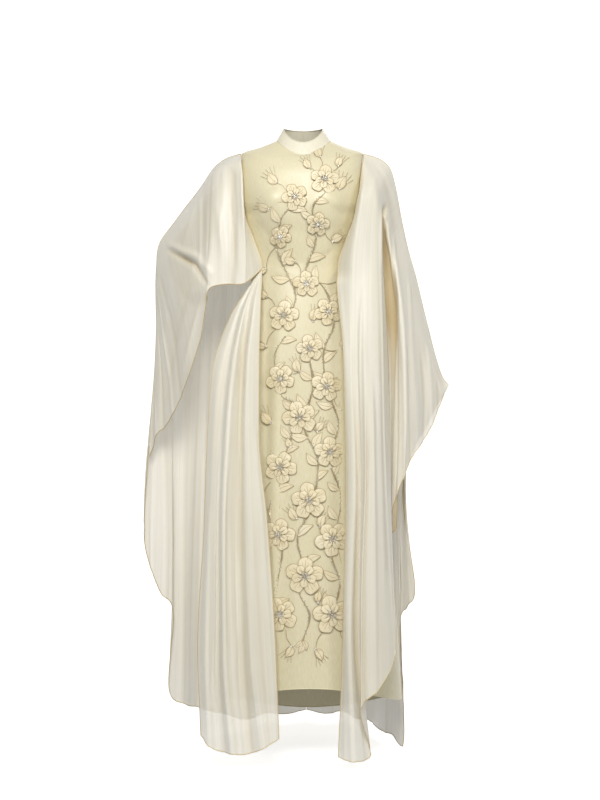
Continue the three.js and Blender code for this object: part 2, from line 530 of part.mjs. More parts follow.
// A blossom cut from several layers of organza: a lobed plate on the dress, crowned, with a groove
// between its petals.
function blossom({ x, z, radius, turn }) {
  const around = 15;
  const rings = [0.5, 1];
  const reach = (angle) => 1 - BLOSSOM.notch * Math.abs(Math.sin((PETALS * (angle - radians(turn))) / 2)) ** 3;
  const under = SATIN / 2 + BLOSSOM.clear;
  const place = (share, angle, lift) => {
    const r = radius * share * reach(angle);
    const { point, normal } = dressAt(-1, x + r * Math.cos(angle), z + r * Math.sin(angle));
    return point.addScaledVector(normal, under + lift).toArray();
  };
  const crown = (share, angle) => {
    const petal = Math.abs(Math.cos((PETALS * (angle - radians(turn))) / 2));
    return BLOSSOM.rim + BLOSSOM.dome * Math.sin(Math.PI * share) * (0.45 + 0.55 * petal) + BLOSSOM.groove * (1 - share);
  };
  const positions = [...place(0, 0, crown(0, 0)), ...place(0, 0, 0)];
  for (const top of [true, false]) {
    for (const share of rings) {
      for (let k = 0; k < around; k++) {
        const angle = (2 * Math.PI * k) / around;
        positions.push(...place(share, angle, top ? crown(share, angle) : 0));
      }
    }
  }
  const id = (layer, ring, k) => 2 + (layer * rings.length + ring) * around + (k % around);
  const faces = [];
  for (let k = 0; k < around; k++) {
    faces.push(0, id(0, 0, k), id(0, 0, k + 1), 1, id(1, 0, k + 1), id(1, 0, k));
    for (let ring = 0; ring < rings.length - 1; ring++) {
      const [a, b, c, d] = [id(0, ring, k), id(0, ring + 1, k), id(0, ring + 1, k + 1), id(0, ring, k + 1)];
      const [e, f, g, h] = [id(1, ring, k), id(1, ring + 1, k), id(1, ring + 1, k + 1), id(1, ring, k + 1)];
      faces.push(a, b, c, a, c, d, e, g, f, e, h, g);
    }
    const rim = rings.length - 1;
    const [a, b, c, d] = [id(0, rim, k), id(0, rim, k + 1), id(1, rim, k + 1), id(1, rim, k)];
    faces.push(a, d, c, a, c, b);
  }
  return solid(positions, faces);
}

// ---------------------------------------------------------------- the garment

const satin = new THREE.MeshStandardMaterial({ color: "#e9dfb9", roughness: 0.35, metalness: 0 });
const collarSatin = new THREE.MeshStandardMaterial({ color: "#f1ecd6", roughness: 0.4, metalness: 0 });
const organza = new THREE.MeshStandardMaterial({ color: "#f3edd9", roughness: 0.55, metalness: 0 });
const petals = new THREE.MeshStandardMaterial({ color: "#e8d3a2", roughness: 0.6, metalness: 0 });

const abaya = new THREE.Group();

function add(name, geometry, material) {
  const mesh = new THREE.Mesh(geometry, material);
  mesh.name = name;
  abaya.add(mesh);
}

add("collar", collar(), collarSatin);
add("dress_front", dressFront(), satin);
add("dress_back_left", dressBack(1), satin);
add("dress_back_right", dressBack(-1), satin);
add("dress_sleeve_left", dressSleeve(1, SLEEVE_LEFT), satin);
add("dress_sleeve_right", dressSleeve(-1, SLEEVE_RIGHT), satin);
add("cape_front_left", capeFront(1, CAPE_FRONT_LEFT, OVERARM_LEFT, 28, 14), organza);
add("cape_sleeve_right", capeFront(-1, CAPE_SLEEVE_RIGHT, OVERARM_RIGHT, 24, 12), organza);
add("cape_front_right", wall(drape(CAPE_FRONT_RIGHT, panelTop), 15, 12, ORGANZA), organza);
add("cape_back_left", capeBack(1, CAPE_BACK_LEFT, OVERARM_LEFT, 26, 13), organza);
add("cape_back_right", capeBack(-1, CAPE_BACK_RIGHT, OVERARM_RIGHT, 26, 13), organza);
BLOSSOMS.forEach((flower, i) => add(`blossom_${String(i + 1).padStart(2, "0")}`, blossom(flower), petals));

export default abaya;
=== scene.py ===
# A long satin dress with a stand collar under a sheer butterfly cape, posed as worn with the right arm bent.
# Tables are in millimetres in the part's frame: +Z up, -Y the front, +X the wearer's left.

import math

import bpy
import numpy as np
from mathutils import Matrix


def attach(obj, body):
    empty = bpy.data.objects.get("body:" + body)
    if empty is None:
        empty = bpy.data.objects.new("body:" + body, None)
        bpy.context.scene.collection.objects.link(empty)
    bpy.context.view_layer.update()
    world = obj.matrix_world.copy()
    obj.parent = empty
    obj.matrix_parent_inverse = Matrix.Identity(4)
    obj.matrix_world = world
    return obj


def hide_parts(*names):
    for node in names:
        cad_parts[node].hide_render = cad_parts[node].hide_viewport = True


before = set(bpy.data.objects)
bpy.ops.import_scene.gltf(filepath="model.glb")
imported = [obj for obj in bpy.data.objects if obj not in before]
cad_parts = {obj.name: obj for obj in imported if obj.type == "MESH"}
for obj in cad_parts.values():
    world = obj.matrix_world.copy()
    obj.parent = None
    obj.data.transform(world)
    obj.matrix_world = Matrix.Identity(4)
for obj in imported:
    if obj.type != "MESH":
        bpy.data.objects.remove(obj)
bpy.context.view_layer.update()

MM = 0.001
SATIN = 2.0
ORGANZA = 1.2
SEAM_GAP = 0.3
ON_DRESS = SATIN / 2 + ORGANZA / 2 + SEAM_GAP + 0.2
ARMHOLE_GAP = 2.3
# How far the front panel's corner tucks in under the waist seam.
PANEL_TUCK = 0.45
# How far the cape's back stands off the dress, and 1 over the share of its length in which that grows.
CLEAR = 6
CLEAR_GROWS = 13
COLLAR_HEIGHT = 45
COLLAR_TOP = dict(half=49, front=-50, back=44, dip=27, rise=4, centre=-1)
COLLAR_TURN = 179.8
COLLAR_FOLLOWS = 0.35
COLLAR_ROLL = 0.8
BUST = dict(x=72, z=-150, wide=62, high=60, proud=20)
YOKE = dict(middle=3.5, shoulder=2.05, ease=5, turn=88)
SEAM_SLACK = 2.4
PETALS = 5
# The shares of a fold's length at which the cape's tables give its x and y, after its top.
LEVELS = [0, 0.08, 0.2, 0.35, 0.55, 0.8, 1]
# How often an interval is halved to find a place on the dress, and how far towards its sides that works.
HALVINGS = 22
NEAR_SIDE = 0.995
EDGE_TURN = 89.9

# ---------------------------------------------------------------- tables


def table(columns, *rows):
    """Rows whose values are found by the names of their columns."""
    return [dict(zip(columns.split(), row)) for row in rows]


DRESS = table(
    "at z front_z back_z half centre edge arm front back seam",
    ("neck", 22, -21, 12, 67, 0, 0, 0, -62, 58, 88),
    ("yoke", 6, -29, -4, 108, -1, 4, 0, -76, 78, 88),
    ("shoulder", -11, -46, -24, 152, -3, 5, 0, -89, 92, 87),
    ("high_chest", -50, -68, -58, 149, -6, 5, 33, -98, 103, 84),
    ("chest", -92, -102, -96, 147, -8, 4, 43, -104, 108, 80),
    ("bust", -138, -143, -140, 148, -9, 2, 30, -107, 108, 68),
    ("underarm", -172, -176, -174, 150, -9, 0, 0, -106, 104, 61),
    ("ribs", -230, -232, -230, 133, -9, 0, 0, -98, 94, 56),
    ("waist", -300, -300, -300, 116, -9, 0, 0, -88, 84, 52),
    ("high_hip", -390, -390, -390, 142, -8, 0, 0, -99, 108, 52),
    ("hip", -500, -500, -500, 166, -6, 0, 0, -111, 131, 52),
    ("thigh", -690, -685, -695, 184, 0, 0, 0, -125, 138, 52),
    ("knee", -950, -935, -965, 205, 6, 0, 0, -148, 152, 52),
    ("calf", -1180, -1150, -1210, 222, 11, 0, 0, -171, 174, 52),
    ("hem", -1368, -1314, -1428, 231, 14, 0, 0, -187, 192, 52),
)

SLEEVE_LEFT = table(
    "at x y z radius",
    ("armhole", 122, 4, -108, 60),
    ("cap", 178, 6, -122, 42),
    ("upper_arm", 192, 10, -202, 39),
    ("elbow", 204, 14, -330, 37),
    ("forearm", 208, 0, -455, 33),
    ("cuff", 207, -18, -570, 29),
)

SLEEVE_RIGHT = table(
    "at x y z radius",
    ("armhole", -125, 4, -96, 60),
    ("cap", -198, 20, -128, 41),
    ("upper_arm", -258, 48, -190, 35),
    ("elbow", -314, 66, -268, 30),
    ("forearm", -292, 26, -328, 27),
    ("cuff", -262, -32, -374, 24),
)

OVERARM_LEFT = table(
    "along x y z",
    (0, 149.5, 5, -8.5),
    (0.1, 192, 8, -23),
    (0.2, 216, 10, -44),
    (0.3, 230, 12, -88),
    (0.45, 246, 14, -173),
    (0.6, 262, 15, -246),
    (0.72, 282, 15, -317),
    (0.86, 312, 14, -441),
    (0.97, 352, 12, -574),
    (1, 365, 12, -587),
)

OVERARM_RIGHT = table(
    "along x y z",
    (0, -155.5, 5, -8.5),
    (0.12, -190, 20, -17),
    (0.2, -220, 32, -35),
    (0.3, -265, 55, -93),
    (0.4, -326, 80, -168),
    (0.5, -372, 100, -233),
    (0.55, -376, 98, -262),
    (0.65, -374, 85, -347),
    (0.78, -376, 70, -480),
    (0.92, -386, 55, -676),
    (1, -390, 50, -741),
)

CAPE_FRONT_LEFT = table(
    "fold along hem x y",
    ("front_edge", 0, -1473, [124, 80, 97, 103, 94, 82], [-100, -95, -135, -165, -195, -205]),
    ("first_flute", 0.04, -1479, [137, 110, 112, 120, 110, 121], [-106, -112, -145, -182, -216, -229]),
    ("flute_back", 0.08, -1468, [152, 135, 131, 137, 133, 160], [-104, -114, -144, -176, -196, -188]),
    ("second_flute", 0.12, -1357, [164, 152, 146, 149, 137, 134], [-100, -112, -146, -190, -222, -232]),
    ("panel_face", 0.18, -1303, [178, 171, 170, 173, 177, 183], [-92, -108, -138, -174, -204, -215]),
    ("panel_edge", 0.25, -1222, [189, 187, 190, 195, 208, 220], [-80, -97, -122, -142, -157, -165]),
    ("recess", 0.32, -1010, [200, 205, 210, 213, 215, 217], [-62, -67, -74, -76, -76, -74]),
    ("recess_outer", 0.4, -905, [210, 218, 223, 223, 221, 216], [-56, -66, -76, -82, -80, -72]),
    ("arm_ridge", 0.48, -811, [226, 232, 240, 246, 248, 246], [-38, -62, -84, -98, -98, -84]),
    ("arm_outer", 0.6, -755, [256, 256, 259, 264, 270, 273], [-20, -42, -62, -76, -80, -70]),
    ("wing", 0.73, -719, [283, 285, 289, 296, 301, 301], [-8, -22, -36, -44, -46, -40]),
    ("wing_outer", 0.87, -662, [315, 317, 322, 327, 330, 330], [2, -6, -14, -19, -20, -18]),
    ("corner", 1, -610, [364, 363, 361, 359, 355, 352], [10, 9, 8, 7, 6, 5]),
)

CAPE_BACK_LEFT = table(
    "fold along hem x y",
    ("centre_back", -1, -1479, [-6, -7, -6, -2, 4, 8], [118, 150, 190, 235, 330, 430]),
    ("valley_1", -0.75, -1479, [40, 42, 46, 52, 56, 58], [116, 138, 166, 205, 290, 370]),
    ("flute_1", -0.5, -1478, [84, 86, 92, 98, 102, 108], [111, 142, 182, 232, 315, 400]),
    ("valley_2", -0.25, -1477, [136, 136, 136, 138, 139, 140], [96, 124, 154, 186, 236, 290]),
    ("flute_2", 0, -1478, [168, 166, 168, 172, 174, 170], [88, 116, 152, 190, 238, 285]),
    ("side_back", 0.1, -1478, [188, 190, 194, 198, 202, 196], [78, 92, 108, 124, 140, 150]),
    ("side", 0.2, -1478, [214, 214, 218, 222, 232, 224], [68, 78, 86, 94, 100, 82]),
    ("side_front", 0.27, -1479, [226, 228, 232, 236, 246, 252], [60, 68, 76, 84, 80, 34]),
    ("step", 0.33, -1200, [234, 236, 240, 243, 246, 246], [52, 60, 68, 76, 86, 88]),
    ("step_outer", 0.39, -1151, [240, 244, 250, 252, 256, 262], [44, 52, 58, 62, 66, 66]),
    ("back_corner", 0.46, -1094, [248, 250, 251, 250, 256, 280], [31, 38, 44, 46, 44, 40]),
    ("hollow", 0.56, -862, [258, 262, 266, 268, 262, 250], [29, 37, 43, 47, 49, 49]),
    ("under_wing", 0.67, -745, [274, 278, 284, 286, 284, 280], [25, 31, 36, 39, 41, 41]),
    ("under_wing_outer", 0.79, -700, [295, 298, 301, 304, 305, 304], [21, 25, 28, 31, 31, 31]),
    ("wing_back", 0.9, -645, [324, 325, 327, 329, 330, 330], [18, 20, 22, 23, 23, 22]),
    ("corner", 1, -608, [364, 363, 361, 359, 355, 352], [15, 15, 15, 14, 13, 12]),
)

CAPE_SLEEVE_RIGHT = table(
    "fold along hem x y",
    ("seam_edge", 0, -300, [-153, -150, -147, -143, -122, -100], [-30, -60, -80, -90, -80, -58]),
    ("taut_ridge", 0.03, -340, [-156, -153, -150, -147, -145, -145], [-50, -74, -88, -98, -102, -102]),
    ("below_shoulder", 0.12, -342, [-190, -190, -189, -188, -188, -189], [-34, -58, -74, -86, -94, -97]),
    ("upper_arm", 0.2, -354, [-222, -224, -226, -228, -230, -231], [-20, -46, -64, -78, -92, -98]),
    ("wrist", 0.3, -405, [-264, -260, -256, -252, -244, -241], [10, -20, -42, -64, -88, -94]),
    ("forearm", 0.38, -473, [-312, -303, -293, -280, -262, -253], [36, 6, -22, -54, -76, -82]),
    ("forearm_back", 0.46, -563, [-350, -340, -326, -308, -291, -283], [60, 30, -2, -32, -52, -58]),
    ("elbow", 0.54, -645, [-372, -366, -354, -338, -325, -318], [80, 58, 36, 12, -8, -16]),
    ("below_elbow", 0.65, -688, [-371, -366, -360, -354, -348, -345], [72, 58, 44, 28, 15, 10]),
    ("outer", 0.78, -711, [-374, -373, -372, -371, -370, -369], [62, 54, 46, 38, 31, 28]),
    ("outer_low", 0.9, -744, [-383, -383, -382, -381, -380, -380], [55, 52, 49, 46, 43, 41]),
    ("corner", 1, -768, [-390, -390, -390, -390, -390, -390], [48, 48, 48, 47, 47, 47]),
)

CAPE_BACK_RIGHT = table(
    "fold along hem x y",
    ("centre_back", -1, -1479, [-6, -7, -6, -2, 4, 8], [118, 150, 190, 235, 330, 430]),
    ("valley_1", -0.75, -1479, [-52, -56, -58, -58, -52, -44], [116, 138, 166, 205, 285, 365]),
    ("flute_1", -0.5, -1478, [-97, -102, -108, -112, -108, -100], [111, 142, 182, 232, 306, 370]),
    ("valley_2", -0.25, -1474, [-142, -145, -151, -156, -156, -150], [96, 124, 152, 184, 226, 262]),
    ("flute_2", 0, -1458, [-175, -182, -192, -202, -208, -204], [90, 118, 150, 188, 226, 250]),
    ("valley_3", 0.1, -1436, [-196, -208, -224, -236, -242, -240], [84, 104, 122, 142, 162, 176]),
    ("side_back", 0.2, -1424, [-228, -238, -250, -262, -272, -275], [96, 112, 128, 146, 164, 172]),
    ("side", 0.3, -1408, [-268, -274, -282, -290, -298, -302], [108, 118, 122, 124, 124, 120]),
    ("side_fold", 0.38, -1363, [-314, -316, -320, -326, -333, -343], [118, 122, 120, 116, 106, 92]),
    ("step", 0.45, -1166, [-350, -349, -345, -339, -333, -332], [116, 118, 114, 104, 92, 86]),
    ("back_corner", 0.53, -1114, [-378, -375, -369, -362, -360, -364], [102, 101, 98, 92, 82, 76]),
    ("hem_curve", 0.65, -1036, [-374, -375, -378, -384, -390, -392], [90, 88, 84, 78, 70, 66]),
    ("outer", 0.78, -980, [-378, -382, -388, -396, -402, -403], [76, 75, 72, 68, 63, 60]),
    ("outer_low", 0.92, -904, [-388, -391, -396, -400, -403, -403], [60, 60, 59, 58, 57, 56]),
    ("corner", 1, -807, [-391, -392, -393, -394, -395, -396], [54, 54, 54, 54, 54, 54]),
)

CAPE_FRONT_RIGHT = table(
    "fold top_x top_y top_z hem x y",
    ("front_edge", -101, -61, -303, -1428,
     [-105, -108, -108, -87, -68, -59], [-105, -130, -152, -174, -197, -210]),
    ("first_flute", -104, -64, -306, -1448,
     [-121, -132, -136, -128, -118, -94], [-114, -142, -168, -192, -214, -224]),
    ("valley_1", -109, -66, -312, -1464,
     [-135, -151, -157, -160, -152, -134], [-108, -128, -148, -170, -198, -212]),
    ("second_flute", -114, -74, -318, -1462,
     [-146, -168, -181, -188, -184, -165], [-112, -140, -168, -196, -218, -225]),
    ("valley_2", -119, -76, -325, -1460,
     [-157, -185, -199, -206, -208, -196], [-104, -122, -146, -168, -190, -202]),
    ("third_flute", -124, -83, -332, -1450,
     [-169, -202, -216, -224, -230, -223], [-102, -122, -144, -168, -190, -202]),
    ("slit_edge", -128, -86, -339, -1430,
     [-182, -222, -234, -241, -255, -247], [-92, -105, -120, -140, -155, -165]),
)

BLOSSOMS = table(
    "x z radius turn",
    (50, -88, 36, 10),
    (-22, -132, 33, 40),
    (34, -196, 29, 5),
    (-56, -226, 27, 62),
    (6, -342, 33, 22),
    (58, -410, 34, 48),
    (-48, -420, 38, 12),
    (14, -500, 34, 30),
    (-56, -574, 36, 55),
    (54, -592, 38, 8),
    (-10, -668, 42, 36),
    (62, -752, 38, 18),
    (-56, -788, 40, 66),
    (12, -868, 44, 25),
    (-60, -950, 40, 2),
    (68, -960, 42, 50),
    (2, -1048, 46, 14),
    (-56, -1140, 42, 42),
    (66, -1140, 46, 28),
)

WAIST_Z = next(row["z"] for row in DRESS if row["at"] == "waist")

# ---------------------------------------------------------------- curves through the tables


def curve(places, values, t):
    """A smooth value at t through values at places, without overshoot. Each point may have its own."""
    places, values, t = (np.asarray(a, float) for a in (places, values, t))
    slopes = np.diff(values, axis=-1) / np.diff(places)
    before, after = slopes[..., :-1], slopes[..., 1:]
    product, total = before * after, before + after
    inner = np.where(product > 0, 2 * product / np.where(total == 0, 1, total), 0)
    tangents = np.concatenate([slopes[..., :1], inner, slopes[..., -1:]], axis=-1)
    i = np.clip(np.searchsorted(places, t, side="left") - 1, 0, len(places) - 2)
    width = places[i + 1] - places[i]
    s = np.clip((t - places[i]) / width, 0, 1)
    if values.ndim == 1:
        pick = lambda a, k: a[k]
    else:
        pick = lambda a, k: np.take_along_axis(a, k[..., None], -1)[..., 0]
    s2, s3 = s * s, s * s * s
    return (
        pick(values, i) * (2 * s3 - 3 * s2 + 1)
        + pick(tangents, i) * width * (s3 - 2 * s2 + s)
        + pick(values, i + 1) * (3 * s2 - 2 * s3)
        + pick(tangents, i + 1) * width * (s3 - s2)
    )


def swing(values, t):
    """A softer curve through evenly spaced values, which may swing a little past them."""
    values = np.asarray(values, float)
    last = len(values) - 1
    t = np.asarray(t, float)
    i = np.minimum(np.floor(t).astype(int), last - 1)
    s = t - i
    at = lambda k: values[np.clip(k, 0, last)]
    before, after, rise = (at(i + 1) - at(i - 1)) / 2, (at(i + 2) - at(i)) / 2, at(i + 1) - at(i)
    return at(i) + before * s + (3 * rise - 2 * before - after) * s**2 + (before + after - 2 * rise) * s**3


column = lambda rows, name: [row[name] for row in rows]
row_curve = lambda rows, name, t: curve(np.arange(len(rows)), column(rows, name), t)
smooth = lambda x, low, high: (lambda s: s * s * (3 - 2 * s))(np.clip((x - low) / (high - low), 0, 1))
point3 = lambda x, y, z: np.stack(np.broadcast_arrays(x, y, z), axis=-1).astype(float)
lerp = lambda a, b, s: a + (b - a) * np.asarray(s)[..., None]
unit = lambda a: a / np.maximum(np.linalg.norm(a, axis=-1, keepdims=True), 1e-9)

# ---------------------------------------------------------------- the dress


def bust_swell(x, z):
    up = ((z - BUST["z"]) / BUST["high"]) ** 2
    mound = lambda side: np.exp(-(((x - side * BUST["x"]) / BUST["wide"]) ** 2) - up)
    return sum(BUST["proud"] * mound(side) for side in (-1, 1))


def dress_point(face, turn, t):
    """face is -1 in front and 1 behind, turn is in degrees from the middle, and t is a row of DRESS."""
    turn, t = np.broadcast_arrays(np.asarray(turn, float), np.asarray(t, float))
    side, middle = np.sin(np.radians(turn)), np.cos(np.radians(turn))
    face = np.broadcast_to(face, t.shape)
    front = face < 0
    row = lambda name: row_curve(DRESS, name, t)
    centre = np.where(front, row("front_z"), row("back_z"))
    z = centre + (row("z") - centre) * side * side
    x = row("centre") + row("half") * side
    edge = row("edge") + face * row("arm")
    depth = np.where(front, row("front"), row("back")) - edge
    swell = np.where(front, bust_swell(x - row("centre"), z) * np.sqrt(np.maximum(middle, 0)), 0)
    return point3(x, edge + depth * middle - swell, z)


def dress_normal(face, turn, t):
    last = len(DRESS) - 1
    beside = lambda by: dress_point(face, np.clip(turn + by, -EDGE_TURN, EDGE_TURN), t)
    along = lambda by: dress_point(face, turn, np.clip(t + by, 0, last))
    normal = unit(np.cross(beside(1) - beside(-1), along(0.02) - along(-0.02)))
    return normal * np.where(normal[..., 1] * face < 0, -1, 1)[..., None]


def dress_at(face, x, z):
    """The dress's surface at x and z, its normal, and where that is between the side seams."""
    x, z = np.broadcast_arrays(np.asarray(x, float), np.asarray(z, float))
    low, high = np.zeros(x.shape), np.full(x.shape, float(len(DRESS) - 1))
    for _ in range(HALVINGS):
        t = (low + high) / 2
        side = (x - row_curve(DRESS, "centre", t)) / row_curve(DRESS, "half", t)
        turn = np.degrees(np.arcsin(np.clip(side, -NEAR_SIDE, NEAR_SIDE)))
        above = dress_point(face, turn, t)[..., 2] > z
        low, high = np.where(above, t, low), np.where(above, high, t)
    return dress_point(face, turn, low), dress_normal(face, turn, low), np.abs(side) <= NEAR_SIDE


def on_front(x, z, lift):
    """A point raised by lift from the front of the dress."""
    point, normal, _ = dress_at(-1, x, z)
    return point + normal * np.asarray(lift, float)[..., None]


SIDE_SEAM = 90 - 0.12
last_row = len(DRESS) - 1


def dress_front(u, v):
    return dress_point(-1, (2 * u - 1) * SIDE_SEAM, v * last_row)


def dress_back(side):
    def surface(u, v):
        p = dress_point(1, side * u * SIDE_SEAM, v * last_row)
        p[..., 0] += side * SEAM_GAP / 2
        return p

    return surface


ARMHOLE_ROWS = [6, 4, 2, 4, 6]


def dress_sleeve(side, rows):
    """A sleeve that leaves the dress at its armhole and then follows the arm's sections."""
    last = len(rows) - 1
    arm = lambda t: point3(row_curve(rows, "x", t), row_curve(rows, "y", t), row_curve(rows, "z", t))

    def armhole(turn):
        t = curve([0, 0.25, 0.5, 0.75, 1], ARMHOLE_ROWS, turn)
        p = dress_point(np.where(turn < 0.5, -1, 1), side * 90, t)
        p[..., 0] += side * ARMHOLE_GAP
        return p

    def section(t, turn):
        along = unit(arm(np.minimum(t + 0.5, last)) - arm(np.maximum(t - 0.5, 0)))
        forward = np.broadcast_to(np.array([0.0, -1.0, 0.0]), along.shape)
        forward = unit(forward - along * np.sum(forward * along, axis=-1, keepdims=True))
        up = unit(np.cross(along, forward)) * -side
        angle = 2 * np.pi * turn
        radius = row_curve(rows, "radius", t)
        rise, reach = np.cos(angle) * radius, np.sin(angle) * radius
        return arm(t) - up * rise[..., None] + forward * reach[..., None]

    def surface(u, v):
        cap = 0.18
        below = section(1 + (np.maximum(v - cap, 0) / (1 - cap)) * (last - 1), u)
        share = smooth(v, 0, cap)
        return np.where((v >= cap)[..., None], below, lerp(armhole(u), section(np.ones_like(v), u), share))

    return surface


def collar(u, v):
    turn = (2 * u - 1) * COLLAR_TURN
    side, front = np.sin(np.radians(turn)), np.cos(np.radians(turn))
    base = dress_point(np.where(front > 0, -1, 1), np.degrees(np.arcsin(side)), np.zeros_like(u))
    base[..., 2] += SATIN / 2 + SEAM_GAP
    depth = np.where(front > 0, -COLLAR_TOP["front"], COLLAR_TOP["back"])
    tilt = np.where(front > 0, COLLAR_TOP["dip"], COLLAR_TOP["rise"]) * front
    height = base[..., 2] * COLLAR_FOLLOWS + COLLAR_HEIGHT - tilt
    top = point3(COLLAR_TOP["centre"] + COLLAR_TOP["half"] * side, -depth * front, height)
    p = lerp(base, top, v)
    p[..., 2] += COLLAR_ROLL * np.sin(np.pi * v)
    return p


# ---------------------------------------------------------------- the cape


def seam_point(side, z, closer=0.0):
    """Where the cape is sewn to the dress at height z."""
    z = np.asarray(z, float)
    low, high = np.full(z.shape, 2.0), np.full(z.shape, float(last_row))
    for _ in range(HALVINGS + 4):
        t = (low + high) / 2
        above = dress_point(-1, side * row_curve(DRESS, "seam", t), t)[..., 2] > z
        low, high = np.where(above, t, low), np.where(above, high, t)
    turn = side * row_curve(DRESS, "seam", low)
    slack = SEAM_SLACK * np.sin(np.pi * np.clip(z / WAIST_Z, 0, 1))
    return dress_point(-1, turn, low) + dress_normal(-1, turn, low) * (ON_DRESS + slack - closer)[..., None]


def overarm(rows, along, shift=0.0):
    at = lambda name: curve(column(rows, "along"), column(rows, name), np.clip(along, 0, 1))
    return point3(at("x"), at("y") + shift, at("z"))


def back_top(side, rows, along):
    """The top edge of the cape's back: a curved yoke line up to the shoulder, then over the arm."""
    share = np.clip(along + 1, 0, 1)
    turn = side * share * YOKE["turn"]
    t = YOKE["shoulder"] + (YOKE["middle"] - YOKE["shoulder"]) * (1 - share**3)
    lift = ON_DRESS + YOKE["ease"] * np.sin(np.pi * share**3)
    p = dress_point(1, turn, t) + dress_normal(1, turn, t) * lift[..., None]
    p = lerp(p, overarm(rows, np.zeros_like(along), 1.0), share**10)
    return np.where((along >= 0)[..., None], overarm(rows, along, 1.0), p)


def drape(folds, top):
    """The surface of a cape piece through its folds. top(t) is its upper edge."""
    last = len(folds) - 1
    levels = range(len(LEVELS) - 1)

    def surface(u, v):
        t = u * last
        start = top(t)
        lower = lambda name, k: swing([fold[name][k] for fold in folds], t)
        xs = np.stack([start[..., 0]] + [lower("x", k) for k in levels], axis=-1)
        ys = np.stack([start[..., 1]] + [lower("y", k) for k in levels], axis=-1)
        hem = swing(column(folds, "hem"), t)
        z = start[..., 2] + (hem - start[..., 2]) * v
        return point3(curve(LEVELS, xs, v), curve(LEVELS, ys, v), z)

    return surface


HELD = dict(across=0.12, below=40)


def sewn_drape(side, folds, top):
    """A cape piece whose first fold is sewn to the dress from the shoulder down to the waist."""
    free = drape(folds, top)

    def surface(u, v):
        p = free(u, v)
        edge = free(np.zeros_like(u), v)
        z = edge[..., 2]
        hold = (1 - np.minimum(u / HELD["across"], 1)) ** 2 * smooth(z, WAIST_Z - HELD["below"], WAIST_Z)
        return p + (seam_point(side, z) - edge) * hold[..., None]

    return surface


# The rows of a cape piece's mesh lie closer together near its top.
fall = lambda v: v**1.4
along_of = lambda folds, t: swing(column(folds, "along"), t)


def clear_of_dress(face, p, by):
    """p moved away from the dress, where it is nearer than by."""
    point, _, inside = dress_at(face, p[..., 0], p[..., 2])
    least = point[..., 1] * face + by + ON_DRESS
    over = p[..., 1] * face - least
    moved = face * (least + (over + np.sqrt(over * over + CLEAR**2)) / 2)
    p[..., 1] = np.where(inside & (by > 0), moved, p[..., 1])
    return p


def cape_front(side, folds, rows):
    drop = sewn_drape(side, folds, lambda t: overarm(rows, along_of(folds, t), -1.0))
    return lambda u, v: drop(u, fall(v))


def panel_top(t):
    at = lambda name: swing(column(CAPE_FRONT_RIGHT, name), t)
    seam = seam_point(-1, CAPE_FRONT_RIGHT[0]["top_z"], PANEL_TUCK)
    p = point3(at("top_x"), at("top_y"), at("top_z"))
    return lerp(p, np.broadcast_to(seam, p.shape), np.maximum(0, 1 - t) ** 2)


def cape_back(side, folds, rows):
    free = drape(folds, lambda t: back_top(side, rows, np.clip(along_of(folds, t), -1, 1)))

    def surface(u, v):
        p = clear_of_dress(1, free(u, fall(v)), CLEAR * np.minimum(1, v * CLEAR_GROWS))
        p[..., 0] += side * (SEAM_GAP + ORGANZA) / 2
        return p

    return surface


# ---------------------------------------------------------------- meshes


def mesh_object(name, points, faces, material, uvs=None):
    """An object from points in millimetres and faces of one size, with smooth shading."""
    points, faces = np.asarray(points, float).reshape(-1, 3), np.asarray(faces, int)
    mesh = bpy.data.meshes.new(name)
    size = faces.shape[1]
    mesh.vertices.add(len(points))
    mesh.vertices.foreach_set("co", (points * MM).ravel())
    mesh.loops.add(faces.size)
    mesh.loops.foreach_set("vertex_index", faces.ravel().astype(np.int32))
    mesh.polygons.add(len(faces))
    mesh.polygons.foreach_set("loop_start", np.arange(0, faces.size, size, dtype=np.int32))
    mesh.polygons.foreach_set("use_smooth", np.ones(len(faces), bool))
    if uvs is not None:
        layer = mesh.uv_layers.new(name="UVMap")
        layer.data.foreach_set("uv", np.asarray(uvs, float).reshape(-1, 2)[faces.ravel()].ravel())
    mesh.update(calc_edges=True)
    mesh.validate()
    obj = bpy.data.objects.new(name, mesh)
    bpy.context.scene.collection.objects.link(obj)
    mesh.materials.append(material)
    return obj


def grid_faces(down, across, offset=0, ring=False):
    """Quads of a grid of down by across points; a ring joins its last column to its first."""
    columns = across if ring else across - 1
    j, i = np.meshgrid(np.arange(down - 1), np.arange(columns), indexing="ij")
    k = (i + 1) % across
    quads = [j * across + i, j * across + k, (j + 1) * across + k, (j + 1) * across + i]
    return np.stack(quads, axis=-1).reshape(-1, 4) + offset


def lengths(P, axis):
    """Distances in millimetres along one axis of a grid of points."""
    step = np.linalg.norm(np.diff(P, axis=axis), axis=-1)
    zero = np.zeros_like(np.take(step, [0], axis=axis))
    return np.concatenate([zero, np.cumsum(step, axis=axis)], axis=axis)


def normals(P, toward):
    """Unit normals of a grid, on the side of the direction toward (away from the middle when it is None)."""
    n = unit(np.cross(np.gradient(P, axis=1), np.gradient(P, axis=0)))
    if toward is None:
        middle = P.mean(axis=1, keepdims=True)
        return n if np.sum(n * (P - middle)) > 0 else -n
    return n if np.sum(n * np.asarray(toward, float)) > 0 else -n


WANDER = 0.004
FADE = 0.12
# Painted shade reaches its full strength in fold troughs this many millimetres deep.
PAINTED_SHADE_DEPTH = 14.0


